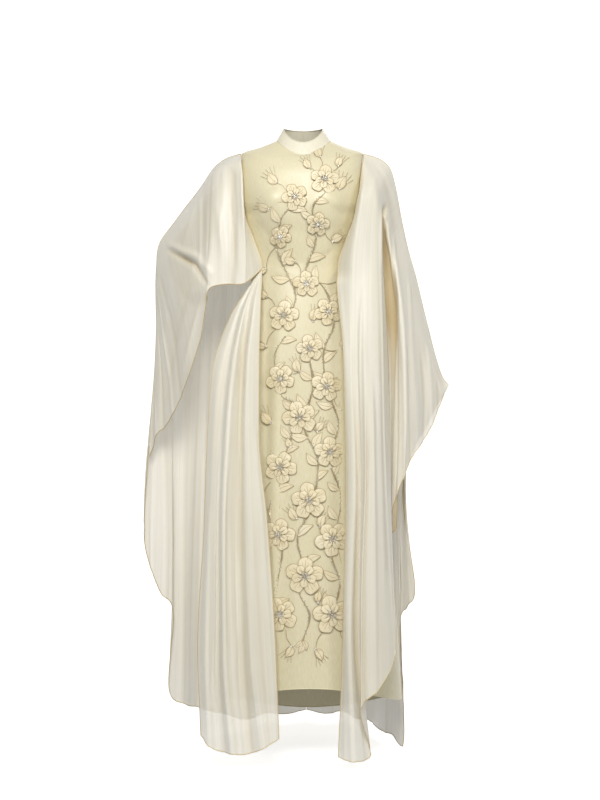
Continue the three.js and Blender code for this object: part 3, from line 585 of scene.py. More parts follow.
def fold_relief(P, folds):
    """Heights of listed folds: each runs down the cloth at a share from `top` to `low` of its width,
    with a width and a height in millimetres, between the shares `start` and `end` of its length."""
    width = lengths(P, 1)
    down = np.linspace(0, 1, P.shape[0])[:, None]
    height = np.zeros(P.shape[:2])
    last = P.shape[1] - 1
    for top, low, wide, high, start, end in folds:
        place = top + (low - top) * down + WANDER * np.sin(9 * down + 40 * top)
        place = np.clip(place, 0, 0.9999) * last
        i = place.astype(int)
        before, after = np.take_along_axis(width, i, 1), np.take_along_axis(width, i + 1, 1)
        distance = width - (before * (1 - place + i) + after * (place - i))
        along = smooth(down, start, start + FADE) * (1 - smooth(down, end - FADE, end) * (end < 1))
        height += high * np.exp(-((distance / wide) ** 2)) * along
    return height


def crease_relief(P, creases):
    """Heights of creases drawn across the front view: a line through (x, z) points, a width and a height."""
    height = np.zeros(P.shape[:2])
    x, z = P[..., 0], P[..., 2]
    for line, wide, high in creases:
        best = np.full(x.shape, 1e9)
        share = np.zeros(x.shape)
        for k, ((ax, az), (bx, bz)) in enumerate(zip(line, line[1:])):
            dx, dz = bx - ax, bz - az
            s = np.clip(((x - ax) * dx + (z - az) * dz) / (dx * dx + dz * dz), 0, 1)
            d = np.hypot(x - ax - s * dx, z - az - s * dz)
            share = np.where(d < best, (k + s) / (len(line) - 1), share)
            best = np.minimum(best, d)
        height += high * np.exp(-((best / wide) ** 2)) * np.sin(np.pi * (0.08 + 0.84 * share))
    return height


def cloth(name, surface, across, down, material, toward, folds=(), creases=(), keep=None):
    """A piece of cloth on its solid's middle layer, with its folds and creases raised on it."""
    v, u = np.meshgrid(np.linspace(0, 1, down + 1), np.linspace(0, 1, across + 1), indexing="ij")
    P = surface(u, v)
    out = normals(P, toward)
    height = fold_relief(P, folds) + crease_relief(P, creases)
    if keep is not None:
        height = height * keep(u, v, P)
    P = P + out * height[..., None]
    run, drop = lengths(P, 1).mean(axis=0), lengths(P, 0).mean(axis=1)
    uv = np.stack(np.meshgrid(run * MM, -drop * MM), axis=-1)
    obj = mesh_object("cloth_" + name, P, grid_faces(down + 1, across + 1), material, uv)
    # painted shade: how deep each point lies in a fold's trough, kept on the mesh to darken its colour there
    painted_fold_shade = obj.data.attributes.new("painted_fold_shade", "FLOAT", "POINT")
    painted_fold_shade.data.foreach_set("value", np.clip(-height / PAINTED_SHADE_DEPTH, 0, 1).ravel())
    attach(obj, "root")
    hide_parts(name)
    return obj, P


def tubes(paths, radius, sides):
    """Points and quads of round tubes along lines of points. radius is one number or one per path."""
    points, faces, start = [], [], 0
    radii = radius if hasattr(radius, "__len__") else [radius] * len(paths)
    angle = np.linspace(0, 2 * np.pi, sides, endpoint=False)
    for path, r in zip(paths, radii):
        path = np.asarray(path, float)
        tangent = unit(np.gradient(path, axis=0))
        first = np.cross(tangent[0], [0.3, 1.0, 0.2])
        side = [first / np.linalg.norm(first)]
        for t in tangent[1:]:
            s = side[-1] - t * np.dot(side[-1], t)
            side.append(s / np.linalg.norm(s))
        side = np.array(side)
        other = np.cross(tangent, side)
        taper = np.asarray(r, float) * np.ones(len(path))
        ring = side[:, None] * np.cos(angle)[:, None] + other[:, None] * np.sin(angle)[:, None]
        points.append((path[:, None] + ring * taper[:, None, None]).reshape(-1, 3))
        faces.append(grid_faces(len(path), sides, start, ring=True))
        start += len(path) * sides
    return np.concatenate(points), np.concatenate(faces)


def tube_object(name, paths, radius, material, sides=6):
    points, faces = tubes(paths, radius, sides)
    obj = mesh_object(name, points, faces, material)
    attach(obj, "root")
    return obj


def unit_ball(rings=5, around=8):
    """One ball of radius 1, as points and quads (it is open by a pinhole at each pole)."""
    turns = np.linspace(0, 2 * np.pi, around, endpoint=False)
    v, u = np.meshgrid(np.linspace(0.04, 0.96, rings) * np.pi, turns, indexing="ij")
    P = np.stack([np.sin(v) * np.cos(u), np.sin(v) * np.sin(u), np.cos(v)], axis=-1)
    return P.reshape(-1, 3), grid_faces(rings, around, ring=True)


def ball_object(name, centres, radii, material):
    ball, quads = unit_ball()
    centres, radii = np.asarray(centres, float), np.asarray(radii, float)
    points = centres[:, None] + ball[None] * radii[:, None, None]
    faces = quads[None] + (np.arange(len(centres)) * len(ball))[:, None, None]
    obj = mesh_object(name, points.reshape(-1, 3), faces.reshape(-1, 4), material)
    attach(obj, "root")
    return obj


def patch_object(name, patches, material):
    """One object from several grids of points."""
    starts = np.cumsum([0] + [P[..., 0].size for P in patches])
    faces = [grid_faces(*P.shape[:2], start) for P, start in zip(patches, starts)]
    uvs = [np.stack([lengths(P, 1) * MM, lengths(P, 0) * MM], axis=-1).reshape(-1, 2) for P in patches]
    points = [P.reshape(-1, 3) for P in patches]
    obj = mesh_object(name, np.concatenate(points), np.concatenate(faces), material, np.concatenate(uvs))
    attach(obj, "root")
    return obj


def along_path(points, step):
    """Points every step millimetres or so along a soft line through points."""
    points = np.asarray(points, float)
    t = np.linspace(0, len(points) - 1, 400)
    fine = np.stack([swing(points[:, k], t) for k in range(points.shape[1])], axis=-1)
    run = np.concatenate([[0], np.cumsum(np.linalg.norm(np.diff(fine, axis=0), axis=-1))])
    even = np.linspace(0, run[-1], max(3, int(run[-1] / step) + 1))
    return np.stack([np.interp(even, run, fine[:, k]) for k in range(points.shape[1])], axis=-1)


# ---------------------------------------------------------------- materials


def rgb(text):
    channel = lambda c: c / 12.92 if c <= 0.04045 else ((c + 0.055) / 1.055) ** 2.4
    return tuple(channel(int(text[k : k + 2], 16) / 255) for k in (1, 3, 5)) + (1.0,)


def add_node(nodes, kind, **values):
    """A shader node with values on its inputs."""
    node = nodes.new("ShaderNode" + kind)
    for socket, value in values.items():
        node.inputs[socket].default_value = value
    return node


def fabric(name, light, dark, roughness, weave, weave_bump=0.05, blotch=6.0, painted_fold_shade=None, **settings):
    """A cloth whose colour drifts between two tones, with a weave that runs down the cloth."""
    material = bpy.data.materials.new(name)
    material.use_nodes = True
    nodes, links = material.node_tree.nodes, material.node_tree.links
    shader = nodes["Principled BSDF"]
    place = add_node(nodes, "TexCoord")
    stretch = add_node(nodes, "Mapping", Scale=(*weave, 1.0))
    threads = add_node(nodes, "TexNoise", Scale=1.0, Detail=2.0)
    cloud = add_node(nodes, "TexNoise", Scale=blotch, Detail=3.0)
    links.new(place.outputs["UV"], stretch.inputs["Vector"])
    links.new(stretch.outputs["Vector"], threads.inputs["Vector"])
    links.new(place.outputs["Object"], cloud.inputs["Vector"])
    # 0.6 of the threads and 0.4 of the cloud choose the tone
    half, add = add_node(nodes, "Math"), add_node(nodes, "Math")
    half.operation, add.operation = "MULTIPLY", "MULTIPLY_ADD"
    half.inputs[1].default_value = 0.4
    add.inputs[1].default_value = 0.6
    links.new(cloud.outputs["Fac"], half.inputs[0])
    links.new(threads.outputs["Fac"], add.inputs[0])
    links.new(half.outputs[0], add.inputs[2])
    ramp = add_node(nodes, "ValToRGB")
    for stop, position, tint in zip(ramp.color_ramp.elements, (0.35, 0.65), (dark, light)):
        stop.position, stop.color = position, rgb(tint)
    links.new(add.outputs[0], ramp.inputs["Fac"])
    tone = ramp.outputs["Color"]
    if painted_fold_shade:  # painted shade: the base colour is darkened towards a warm tone in the folds' troughs, by how deep each point lies in one
        painted_shade_mask, mix = add_node(nodes, "Attribute"), add_node(nodes, "Mix")
        painted_shade_mask.attribute_name = "painted_fold_shade"
        mix.data_type = "RGBA"
        mix.inputs["B"].default_value = rgb(painted_fold_shade)
        links.new(painted_shade_mask.outputs["Fac"], mix.inputs["Factor"])
        links.new(tone, mix.inputs["A"])
        tone = mix.outputs["Result"]
    links.new(tone, shader.inputs["Base Color"])
    bump = add_node(nodes, "Bump", Strength=weave_bump, Distance=0.0006)
    links.new(threads.outputs["Fac"], bump.inputs["Height"])
    links.new(bump.outputs["Normal"], shader.inputs["Normal"])
    shader.inputs["Roughness"].default_value = roughness
    for socket, value in settings.items():
        shader.inputs[socket.replace("_", " ")].default_value = value
    return material


satin = fabric("satin", "#e2dabb", "#d9cfa8", 0.46, weave=(420.0, 60.0), weave_bump=0.01, blotch=4.0,
               Specular_IOR_Level=0.6, Coat_Weight=0.3, Coat_Roughness=0.42)
collar_satin = fabric("collar_satin", "#e9e3cf", "#e0d9c0", 0.42, weave=(420.0, 60.0), weave_bump=0.01,
                      Specular_IOR_Level=0.5, Coat_Weight=0.15, Coat_Roughness=0.4)
# The organza's colour is darkened to this warm tone in its folds' troughs, as painted shade.
organza = fabric("organza", "#f4f0e2", "#ece6d4", 0.42, weave=(240.0, 2.5), weave_bump=0.03, blotch=4.0,
                 painted_fold_shade="#cdb98c", Alpha=0.83, Sheen_Weight=0.4, Sheen_Roughness=0.35)
organza_hem = fabric("organza_hem", "#dccb9c", "#c4ad78", 0.5, weave=(400.0, 400.0))
petal_organza = fabric("petal_organza", "#efe6c9", "#e3d3a8", 0.5, weave=(500.0, 40.0), weave_bump=0.12,
                       blotch=22.0, Sheen_Weight=0.3, Sheen_Roughness=0.4)
cord_thread = fabric("cord_thread", "#c5b58c", "#a39068", 0.4, weave=(600.0, 600.0), weave_bump=0.2,
                     Metallic=0.25)
bead_silver = fabric("bead_silver", "#f8f6f0", "#d2ccbe", 0.14, weave=(300.0, 300.0), weave_bump=0.02,
                     Metallic=0.6)

# ---------------------------------------------------------------- the cloth, with its folds and creases

# (share of the width at the top, at the hem, width mm, height mm, from, to) for each fold, unevenly spaced.
LEFT_FRONT_FOLDS = [
    (0.03, 0.04, 7, 2.5, 0.30, 1), (0.09, 0.07, 9, 3.5, 0.45, 1), (0.14, 0.13, 8, -3, 0.5, 1),
    (0.20, 0.18, 10, 3, 0.35, 1), (0.26, 0.27, 8, -5.5, 0.55, 1), (0.315, 0.31, 8, 3.5, 0.5, 1),
    (0.36, 0.37, 12, 2.4, 0.18, 0.95), (0.415, 0.41, 6, 3.5, 0.12, 1),
    (0.495, 0.49, 11, -24, 0.1, 1), (0.555, 0.55, 9, -16, 0.12, 1), (0.61, 0.61, 6, -3, 0.2, 1),
    (0.655, 0.665, 10, 3.6, 0.08, 1),
    (0.71, 0.72, 9, -2.2, 0.5, 1), (0.765, 0.775, 11, 2, 0.2, 1), (0.82, 0.83, 9, -2.4, 0.55, 1),
    (0.875, 0.885, 10, 2.2, 0.4, 1), (0.94, 0.935, 8, -2, 0.6, 1),
]
LEFT_FRONT_CREASES = [
    ([(150, -35), (172, -90), (186, -180), (190, -290)], 9, 2.4),
    ([(168, -25), (205, -80), (222, -170), (232, -280)], 8, -2.2),
    ([(190, -40), (232, -120), (252, -210), (268, -300)], 7, 2.2),
    ([(96, -520), (110, -760), (104, -1010), (90, -1260)], 12, 2.6),
    ([(128, -900), (120, -1130), (132, -1340)], 8, -3),
]
RIGHT_SLEEVE_FOLDS = [
    (0.085, 0.09, 4, 3.5, 0.2, 1), (0.135, 0.15, 8, -2.6, 0.2, 1), (0.2, 0.21, 9, 2.2, 0.15, 1),
    (0.29, 0.3, 9, -2.2, 0.12, 0.85), (0.36, 0.37, 8, 2.2, 0.15, 0.8), (0.62, 0.6, 9, -2.4, 0.25, 1),
    (0.69, 0.67, 8, 2.4, 0.2, 1), (0.77, 0.75, 9, -2, 0.25, 1), (0.85, 0.84, 8, 2, 0.3, 1),
]
RIGHT_SLEEVE_CREASES = [
    ([(-338, -248), (-298, -274), (-270, -290), (-238, -340)], 6, -10),
    ([(-342, -230), (-300, -256), (-264, -272), (-228, -316)], 8, 6),
    ([(-206, -84), (-212, -150), (-204, -225), (-190, -290)], 9, 3),
    ([(-240, -100), (-252, -165), (-248, -235)], 9, -2.4),
    ([(-180, -60), (-178, -150), (-172, -240), (-164, -318)], 7, -2.6),
    ([(-268, -120), (-285, -185), (-300, -238)], 8, 2.2),
    ([(-250, -372), (-278, -470), (-300, -560)], 7, 2.6),
    ([(-282, -340), (-312, -440), (-334, -560), (-344, -640)], 8, -2.4),
    ([(-332, -300), (-346, -420), (-358, -560)], 8, 2.2),
]
RIGHT_PANEL_FOLDS = [
    (0.06, 0.05, 6, 2.4, 0.3, 1), (0.13, 0.11, 7, -2.4, 0.5, 1), (0.22, 0.2, 8, 3, 0.1, 1),
    (0.3, 0.29, 8, -3.4, 0.12, 1), (0.38, 0.4, 8, 2.4, 0.5, 1), (0.46, 0.47, 8, -3.2, 0.35, 1),
    (0.55, 0.53, 9, 4, 0.06, 1), (0.63, 0.62, 7, -2.2, 0.55, 1), (0.71, 0.73, 9, 2.8, 0.3, 1),
    (0.79, 0.8, 7, -2.8, 0.12, 1), (0.88, 0.87, 8, 2.6, 0.45, 1), (0.95, 0.95, 5, -1.6, 0.5, 1),
]
RIGHT_PANEL_CREASES = [
    ([(-202, -750), (-214, -980), (-214, -1180), (-222, -1350)], 6, 4.5),
    ([(-160, -1000), (-150, -1130), (-168, -1280)], 8, 2.4),
    ([(-120, -360), (-140, -460), (-158, -600)], 7, -2.6),
]
LEFT_BACK_FOLDS = [
    (0.035, 0.03, 8, 3, 0.15, 1), (0.1, 0.09, 10, -3.5, 0.12, 1), (0.165, 0.16, 9, 3, 0.2, 1),
    (0.235, 0.24, 10, -3, 0.12, 1), (0.3, 0.29, 9, 3.4, 0.3, 1), (0.37, 0.375, 8, -3, 0.15, 1),
    (0.43, 0.44, 9, 3, 0.2, 1), (0.5, 0.49, 8, -2.6, 0.3, 1), (0.555, 0.56, 7, 2.6, 0.2, 1),
    (0.63, 0.62, 7, -2.4, 0.25, 1), (0.7, 0.71, 7, 2.4, 0.2, 1), (0.79, 0.78, 7, -2.2, 0.3, 1),
    (0.88, 0.88, 7, 2, 0.3, 1),
]
RIGHT_BACK_FOLDS = [
    (0.03, 0.035, 8, 3, 0.15, 1), (0.105, 0.1, 10, -3.2, 0.15, 1), (0.175, 0.18, 9, 3.4, 0.12, 1),
    (0.25, 0.24, 9, -3, 0.2, 1), (0.31, 0.32, 9, 3, 0.15, 1), (0.39, 0.385, 9, -3.2, 0.2, 1),
    (0.46, 0.465, 8, 3, 0.15, 1), (0.53, 0.52, 8, -2.8, 0.25, 1), (0.6, 0.61, 8, 2.8, 0.2, 1),
    (0.69, 0.69, 8, -2.4, 0.3, 1), (0.78, 0.77, 8, 2.4, 0.2, 1), (0.88, 0.89, 8, -2, 0.3, 1),
]
DRESS_BACK_FOLDS = [(0.3, 0.28, 16, -3, 0.45, 1), (0.6, 0.62, 18, 3, 0.4, 1), (0.85, 0.84, 14, -2.5, 0.5, 1)]
# (a line through points (x, z), width mm, height mm) for each crease.
DRESS_CREASES = [
    ([(-118, -300), (-60, -292), (0, -296), (60, -292), (110, -298)], 30, -1.4),
    ([(-70, -206), (0, -214), (70, -206)], 20, -1.6),
    ([(-86, -112), (-74, -134), (-64, -150)], 34, 5),
    ([(86, -116), (76, -138), (66, -152)], 34, 5),
    ([(0, -70), (2, -120), (0, -170)], 24, -2.6),
    ([(-82, -330), (-92, -520), (-96, -800), (-100, -1240)], 15, -4.5),
    ([(-62, -430), (-68, -700), (-72, -1000), (-74, -1290)], 15, 4.5),
    ([(88, -360), (96, -640), (104, -980), (112, -1290)], 16, 4.5),
    ([(30, -700), (38, -950), (34, -1280)], 16, -2),
    ([(-12, -1010), (-20, -1150), (-16, -1300)], 16, 2.2),
    ([(-96, -262), (-62, -280), (-20, -288), (30, -284)], 7, -1.6),
    ([(98, -246), (60, -268), (16, -276)], 7, -1.6),
    ([(-100, -300), (-60, -312), (-10, -316)], 6, 1.3),
    ([(-112, -190), (-84, -226), (-66, -262)], 8, -1.6),
    ([(110, -186), (84, -224), (68, -262)], 8, -1.6),
]

dress_keep = lambda u, v, P: smooth(v, 0, 0.03) * smooth(np.minimum(u, 1 - u), 0, 0.03)
back_keep = lambda u, v, P: smooth(v, 0.02, 0.12) * smooth(u, 0, 0.05)


def sewn_keep(u, v, P):
    """No fold is raised at the top seam, nor at the dress's seam above the waist."""
    return smooth(v, 0, 0.07) * np.maximum(smooth(u, 0, 0.06), smooth(WAIST_Z - P[..., 2], 0, 80))


pieces = {}
grids = {}


def sew(name, *args, **kwargs):
    pieces[name], grids[name] = cloth(name, *args, **kwargs)


FRONT, BACK = (0, -1, 0), (0, 1, 0)
SIDES = (("left", 1), ("right", -1))
sew("collar", collar, 120, 10, collar_satin, None)
sew("dress_front", dress_front, 120, 200, satin, FRONT, creases=DRESS_CREASES, keep=dress_keep)
for word, side in SIDES:
    sew(f"dress_back_{word}", dress_back(side), 56, 160, satin, BACK, folds=DRESS_BACK_FOLDS, keep=dress_keep)
for (word, side), rows in zip(SIDES, (SLEEVE_LEFT, SLEEVE_RIGHT)):
    sew(f"dress_sleeve_{word}", dress_sleeve(side, rows), 56, 80, satin, None)
sew("cape_front_left", cape_front(1, CAPE_FRONT_LEFT, OVERARM_LEFT), 220, 190, organza, FRONT,
    folds=LEFT_FRONT_FOLDS, creases=LEFT_FRONT_CREASES, keep=sewn_keep)
sew("cape_sleeve_right", cape_front(-1, CAPE_SLEEVE_RIGHT, OVERARM_RIGHT), 170, 140, organza, FRONT,
    folds=RIGHT_SLEEVE_FOLDS, creases=RIGHT_SLEEVE_CREASES, keep=sewn_keep)
sew("cape_front_right", drape(CAPE_FRONT_RIGHT, panel_top), 120, 190, organza, FRONT,
    folds=RIGHT_PANEL_FOLDS, creases=RIGHT_PANEL_CREASES, keep=lambda u, v, P: smooth(v, 0, 0.1))
sew("cape_back_left", cape_back(1, CAPE_BACK_LEFT, OVERARM_LEFT), 190, 180, organza, BACK,
    folds=LEFT_BACK_FOLDS, keep=back_keep)
sew("cape_back_right", cape_back(-1, CAPE_BACK_RIGHT, OVERARM_RIGHT), 190, 180, organza, BACK,
    folds=RIGHT_BACK_FOLDS, keep=back_keep)

# ---------------------------------------------------------------- hems and seams


goes_with = {name: [] for name in pieces}


def rolled_hem(name, piece, edges, radius=1.1, material=organza_hem):
    """A hem along edges of a piece of cloth, which goes with that piece."""
    hem = tube_object(name, edges, radius, material)
    goes_with[piece].append(hem)


def below(P, col, z):
    """The part of one side edge that hangs below z."""
    edge = P[:, col]
    return edge[edge[:, 2] <= z]


left, sleeve, panel = grids["cape_front_left"], grids["cape_sleeve_right"], grids["cape_front_right"]
back_left, back_right = grids["cape_back_left"], grids["cape_back_right"]
rolled_hem("hem_front_left", "cape_front_left", [left[-1], below(left, 0, WAIST_Z - 5)])
rolled_hem("hem_sleeve_right", "cape_sleeve_right", [sleeve[-1]])
rolled_hem("hem_front_right", "cape_front_right", [panel[-1], panel[4:, 0], panel[4:, -1]])
rolled_hem("hem_back_left", "cape_back_left", [back_left[-1]])
rolled_hem("hem_back_right", "cape_back_right", [back_right[-1], back_right[:, -1]])
for name, piece in (
    ("hem_skirt_front", "dress_front"),
    ("hem_skirt_back_left", "dress_back_left"),
    ("hem_skirt_back_right", "dress_back_right"),
    ("hem_cuff_left", "dress_sleeve_left"),
    ("hem_cuff_right", "dress_sleeve_right"),
):
    rolled_hem(name, piece, [grids[piece][-1]], 1.2, satin)
rolled_hem("hem_collar", "collar", [grids["collar"][-1]], 1.2, collar_satin)

# Overcast seams: the cape's front seams from shoulder to waist, and its overarm seams.
seam_lines, seam_radii = [], []
for side, grid_of in ((1, left), (-1, sleeve)):
    edge = grid_of[:, 0]
    edge = edge[edge[:, 2] > WAIST_Z - 4]
    dress_side = seam_point(side, edge[:, 2]) - edge
    sunk = edge + dress_side + unit(np.array([[0.35 * side, -1.0, 0.0]])) * -1.5
    seam_lines.append(np.concatenate([edge[:1] + [0, 2, 0.6], sunk]))
    seam_radii.append(1.5)
    seam_lines.append(grid_of[0, 3:-2] + np.array([0.0, 0.4, 0.9]))
    seam_radii.append(0.7)
seams = tube_object("cape_seams", seam_lines, seam_radii, organza_hem)
band = grids["collar"]
collar_lines = [band[0] + [0.0, 0.0, -0.9], (band[:, 0] + band[:, -1]) / 2 + [0.0, -0.6, 0.0]]
neck_seam = tube_object("neck_seam", collar_lines, [1.3, 0.7], collar_satin)
# The dress's side seams, from the armholes to the hem.
side_lines = []
for col, word in ((-1, "left"), (0, "right")):
    fore, aft = grids["dress_front"][::5, col], grids[f"dress_back_{word}"][::4, -1]
    shut = (np.linalg.norm(fore - aft, axis=1) < 3) & (fore[:, 2] < -180)
    side_lines.append(((fore + aft) / 2)[shut])
side_seams = tube_object("side_seams", side_lines, 1.1, satin)

# ---------------------------------------------------------------- the applique

rng = np.random.default_rng(7)
PETAL_ROWS, PETAL_COLUMNS = 12, 17


def blossom_frame(flower, share, angle, lift):
    """Points of a blossom on the dress front, by share of its radius, angle and lift above the satin."""
    x = flower["x"] + flower["radius"] * share * np.cos(angle)
    z = flower["z"] + flower["radius"] * share * np.sin(angle)
    return on_front(x, z, lift)


def petal_grid(flower, k, reach, spread, turn, base, cup, ruffle):
    """One petal: how far it reaches, half its angle in degrees, its turn and its heights in millimetres."""
    v, u = np.meshgrid(np.linspace(0, 1, PETAL_ROWS), np.linspace(-1, 1, PETAL_COLUMNS), indexing="ij")
    wave = 0.5 * ruffle * np.sin(5 * u + 1.7 * k + flower["x"]) * smooth(v, 0.6, 1)
    outline = (1 - 0.16 * u**2 - 0.34 * u**4) * (1 + 0.025 * np.sin(7 * u + k))
    neck = 0.35 + 0.65 * np.sin(0.5 * np.pi * np.minimum(1, 0.25 + v)) ** 1.2
    angle = np.radians(flower["turn"] + turn + 360 / PETALS * k) + np.radians(spread) * u * neck
    share = 0.1 + (reach - 0.1) * v * outline
    midrib = 0.9 * np.exp(-((u / 0.16) ** 2)) * v * (1 - v) * 3
    rise = base + cup * np.sin(np.pi * v * 0.92) * (0.75 + 0.25 * u**2) - midrib
    lift = 1.2 + np.maximum(rise + wave, 0.15)
    return share, angle, lift


# (reach, spread, turn, base, cup, ruffle) of the petals of each layer, as petal_grid takes them.
LAYERS = [(1.0, 37, 0, 0.9, 3.4, 1.1), (0.62, 33, 36, 3.0, 3.2, 0.8)]
# (how many, reach, lift, size) of each ring of beads at a blossom's heart.
BEAD_RINGS = [(1, 0, 8.0, 2.4), (6, 0.1, 7.4, 2.0), (11, 0.2, 7.6, 1.5)]
STAMEN_LIFTS = [6.6, 7.4, 7.8, 7.6]

applique = []
cord_paths, cord_radii = [], []
bead_centres, bead_radii = [], []


def add_cord(x, z, lift, radius):
    cord_paths.append(on_front(x, z, np.broadcast_to(lift, np.shape(x))))
    cord_radii.append(radius)


def add_beads(x, z, lift, radius):
    x, z = np.atleast_1d(x), np.atleast_1d(z)
    bead_centres.extend(on_front(x, z, np.broadcast_to(lift, x.shape)))
    bead_radii.extend(np.broadcast_to(radius, x.shape))


for index, flower in enumerate(BLOSSOMS):
    patches = []
    for layer, (reach, spread, turn, base, cup, ruffle) in enumerate(LAYERS):
        for k in range(PETALS):
            grow = reach * (1 + 0.06 * math.sin(2.3 * k + index))
            over = base + 0.25 * (k % 2)
            P = blossom_frame(flower, *petal_grid(flower, k, min(grow, 1.0), spread, turn, over, cup, ruffle))
            patches.append(P)
            # the cord along the petal's edge, down both sides and over the tip
            rim = np.concatenate([P[3:-1, 0], P[-1, :], P[3:-1, -1][::-1]])
            cord_paths.append(rim + np.array([0.0, -0.35, 0.0]))
            cord_radii.append(0.62 if layer == 0 else 0.5)
            veins = ((8, 2, 9),) if layer else ((8, 2, 10), (5, 4, 9), (11, 4, 9))
            for place, start, stop in veins:
                cord_paths.append(P[start:stop, place] + np.array([0.0, -0.4, 0.0]))
                cord_radii.append(0.36)
    name = f"blossom_{index + 1:02d}"
    obj = patch_object(name + "_petals", patches, petal_organza)
    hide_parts(name)
    applique.append(obj)
    # a ring of short stamens and a cluster of beads at the heart
    count = 9 + index % 4
    for k in range(count):
        a = 2 * np.pi * (k + 0.3 * rng.random()) / count
        far = (0.26 + 0.13 * rng.random()) * flower["radius"]
        s = np.linspace(0.08 * flower["radius"], far, 4)
        xs, zs = flower["x"] + s * math.cos(a), flower["z"] + s * math.sin(a)
        add_cord(xs, zs, STAMEN_LIFTS, 0.34)
        add_beads(xs[-1], zs[-1], STAMEN_LIFTS[-1], 0.75 + 0.25 * rng.random())
    for around, reach, lift, size in BEAD_RINGS:
        a = 2 * np.pi * (np.arange(around) + 0.4 * rng.random(around)) / around
        r = reach * flower["radius"] * (1 + 0.25 * rng.random(around))
        sizes = size * (0.8 + 0.35 * rng.random(around))
        add_beads(flower["x"] + r * np.cos(a), flower["z"] + r * np.sin(a), lift, sizes)

# The vine that joins the blossoms: (x, z) of its stems from top to hem, each a soft line.
STEMS = [
    [(66, -66), (52, -120), (22, -158), (30, -232), (12, -284), (-6, -330)],
    [(-22, -150), (-52, -180), (-66, -250), (-42, -312), (-20, -372), (-40, -440)],
    [(16, -322), (52, -356), (74, -432), (48, -512), (58, -600), (84, -680), (72, -728)],
    [(-44, -470), (-70, -520), (-56, -610), (-22, -640), (-34, -730), (-64, -800)],
    [(12, -520), (22, -590), (2, -690), (34, -770), (20, -880), (-14, -950), (-6, -1008)],
    [(-58, -830), (-84, -900), (-52, -980), (-66, -1080), (-78, -1170)],
    [(66, -790), (90, -870), (66, -990), (86, -1070), (60, -1160)],
    [(10, -1000), (-12, -1080), (14, -1140), (-2, -1200)],
]
leaf_patches = []


def leaf(x, z, heading, length, width, lift=1.5):
    """A pointed leaf of organza with a midrib and a corded edge. heading is in degrees."""
    v, u = np.meshgrid(np.linspace(0, 1, 10), np.linspace(-1, 1, 7), indexing="ij")
    half = width / 2 * np.sin(np.pi * np.clip(v, 0.02, 0.985) ** 0.85)
    bend = 0.12 * length * np.sin(np.pi * v)
    a = math.radians(heading)
    along, across = length * v, u * half + bend
    gx = x + along * math.cos(a) - across * math.sin(a)
    gz = z + along * math.sin(a) + across * math.cos(a)
    P = on_front(gx, gz, lift + 1.3 * np.sin(np.pi * v) * (1 - 0.5 * u**2) - 0.5 * np.exp(-((u / 0.2) ** 2)))
    leaf_patches.append(P)
    lift_out = np.array([0.0, -0.3, 0.0])
    cord_paths.append(np.concatenate([P[:, 0], P[::-1, -1]]) + lift_out)
    cord_radii.append(0.45)
    cord_paths.append(P[1:-1, 3] + lift_out)
    cord_radii.append(0.36)


def far_from_blossoms(x, z, share):
    return all(math.hypot(x - f["x"], z - f["z"]) > share * f["radius"] for f in BLOSSOMS)


for s, stem in enumerate(STEMS):
    line = along_path(stem, 4.0)
    for shift, radius in ((0.0, 0.95), (2.0, 0.6), (-1.8, 0.6)):
        wave = shift * (0.6 + 0.4 * np.sin(np.arange(len(line)) * 0.35 + s))
        add_cord(line[:, 0] + wave, line[:, 1], 1.5 + 0.3 * abs(shift), radius)
    # leaves and buds on alternate sides, with beads scattered along the stem
    hand = 1
    for i in range(5, len(line) - 4, 9):
        x, z = line[i]
        slope = math.degrees(math.atan2(line[i + 2, 1] - line[i - 2, 1], line[i + 2, 0] - line[i - 2, 0]))
        hand = -hand
        heading = slope + 180 + hand * (42 + 14 * rng.random())
        size = 32 + 16 * rng.random()
        tip = (x + size * math.cos(math.radians(heading)), z + size * math.sin(math.radians(heading)))
        if far_from_blossoms(*tip, 0.95) and abs(tip[0]) < 94:
            leaf(x, z, heading, size, size * 0.44)
        elif far_from_blossoms(x, z, 0.9):
            add_beads(x + 3 * hand, z, 2.4, 1.3)
    (x, z), (fx, fz) = line[-1], line[-3]
    ending = math.degrees(math.atan2(z - fz, x - fx))
    if far_from_blossoms(x, z, 0.9):
        for swing_out, size in ((0, 34), (38, 26), (-36, 26)):
            leaf(x, z, ending + swing_out, size, size * 0.42)
    for i in range(1, len(line) - 1, 2):
        if far_from_blossoms(*line[i], 0.55):
            beads_x = line[i, 0] + rng.uniform(-3.4, 3.4, 2)
            add_beads(beads_x, line[i, 1] + np.array([0, 3.0]), 2.6, rng.uniform(0.9, 1.6, 2))

# Buds on short stems, with a spray of fine cords tipped with beads: (x, z, heading, length).
BUDS = [
    (86, -112, 64, 30), (-64, -98, 128, 28), (-84, -160, 150, 24), (70, -236, 30, 24),
    (-92, -300, 205, 20), (-20, -286, 160, 24), (88, -330, 48, 26), (22, -432, 70, 26),
    (-88, -372, 140, 24), (-12, -556, 100, 26), (92, -500, 60, 24), (-92, -494, 160, 22),
    (92, -650, 60, 26), (-78, -680, 130, 28), (32, -700, 50, 22), (-98, -860, 160, 24),
    (100, -820, 40, 26), (-30, -740, 110, 20), (-16, -912, 120, 26), (40, -930, 70, 24),
    (-98, -1020, 150, 24), (106, -1036, 44, 24), (34, -1110, 80, 22), (-28, -1214, 240, 24),
    (28, -1222, 300, 24), (-96, -1206, 220, 22), (104, -1210, 320, 22), (40, -30, 96, 24),
    (84, -54, 70, 22), (16, -58, 118, 22),
]
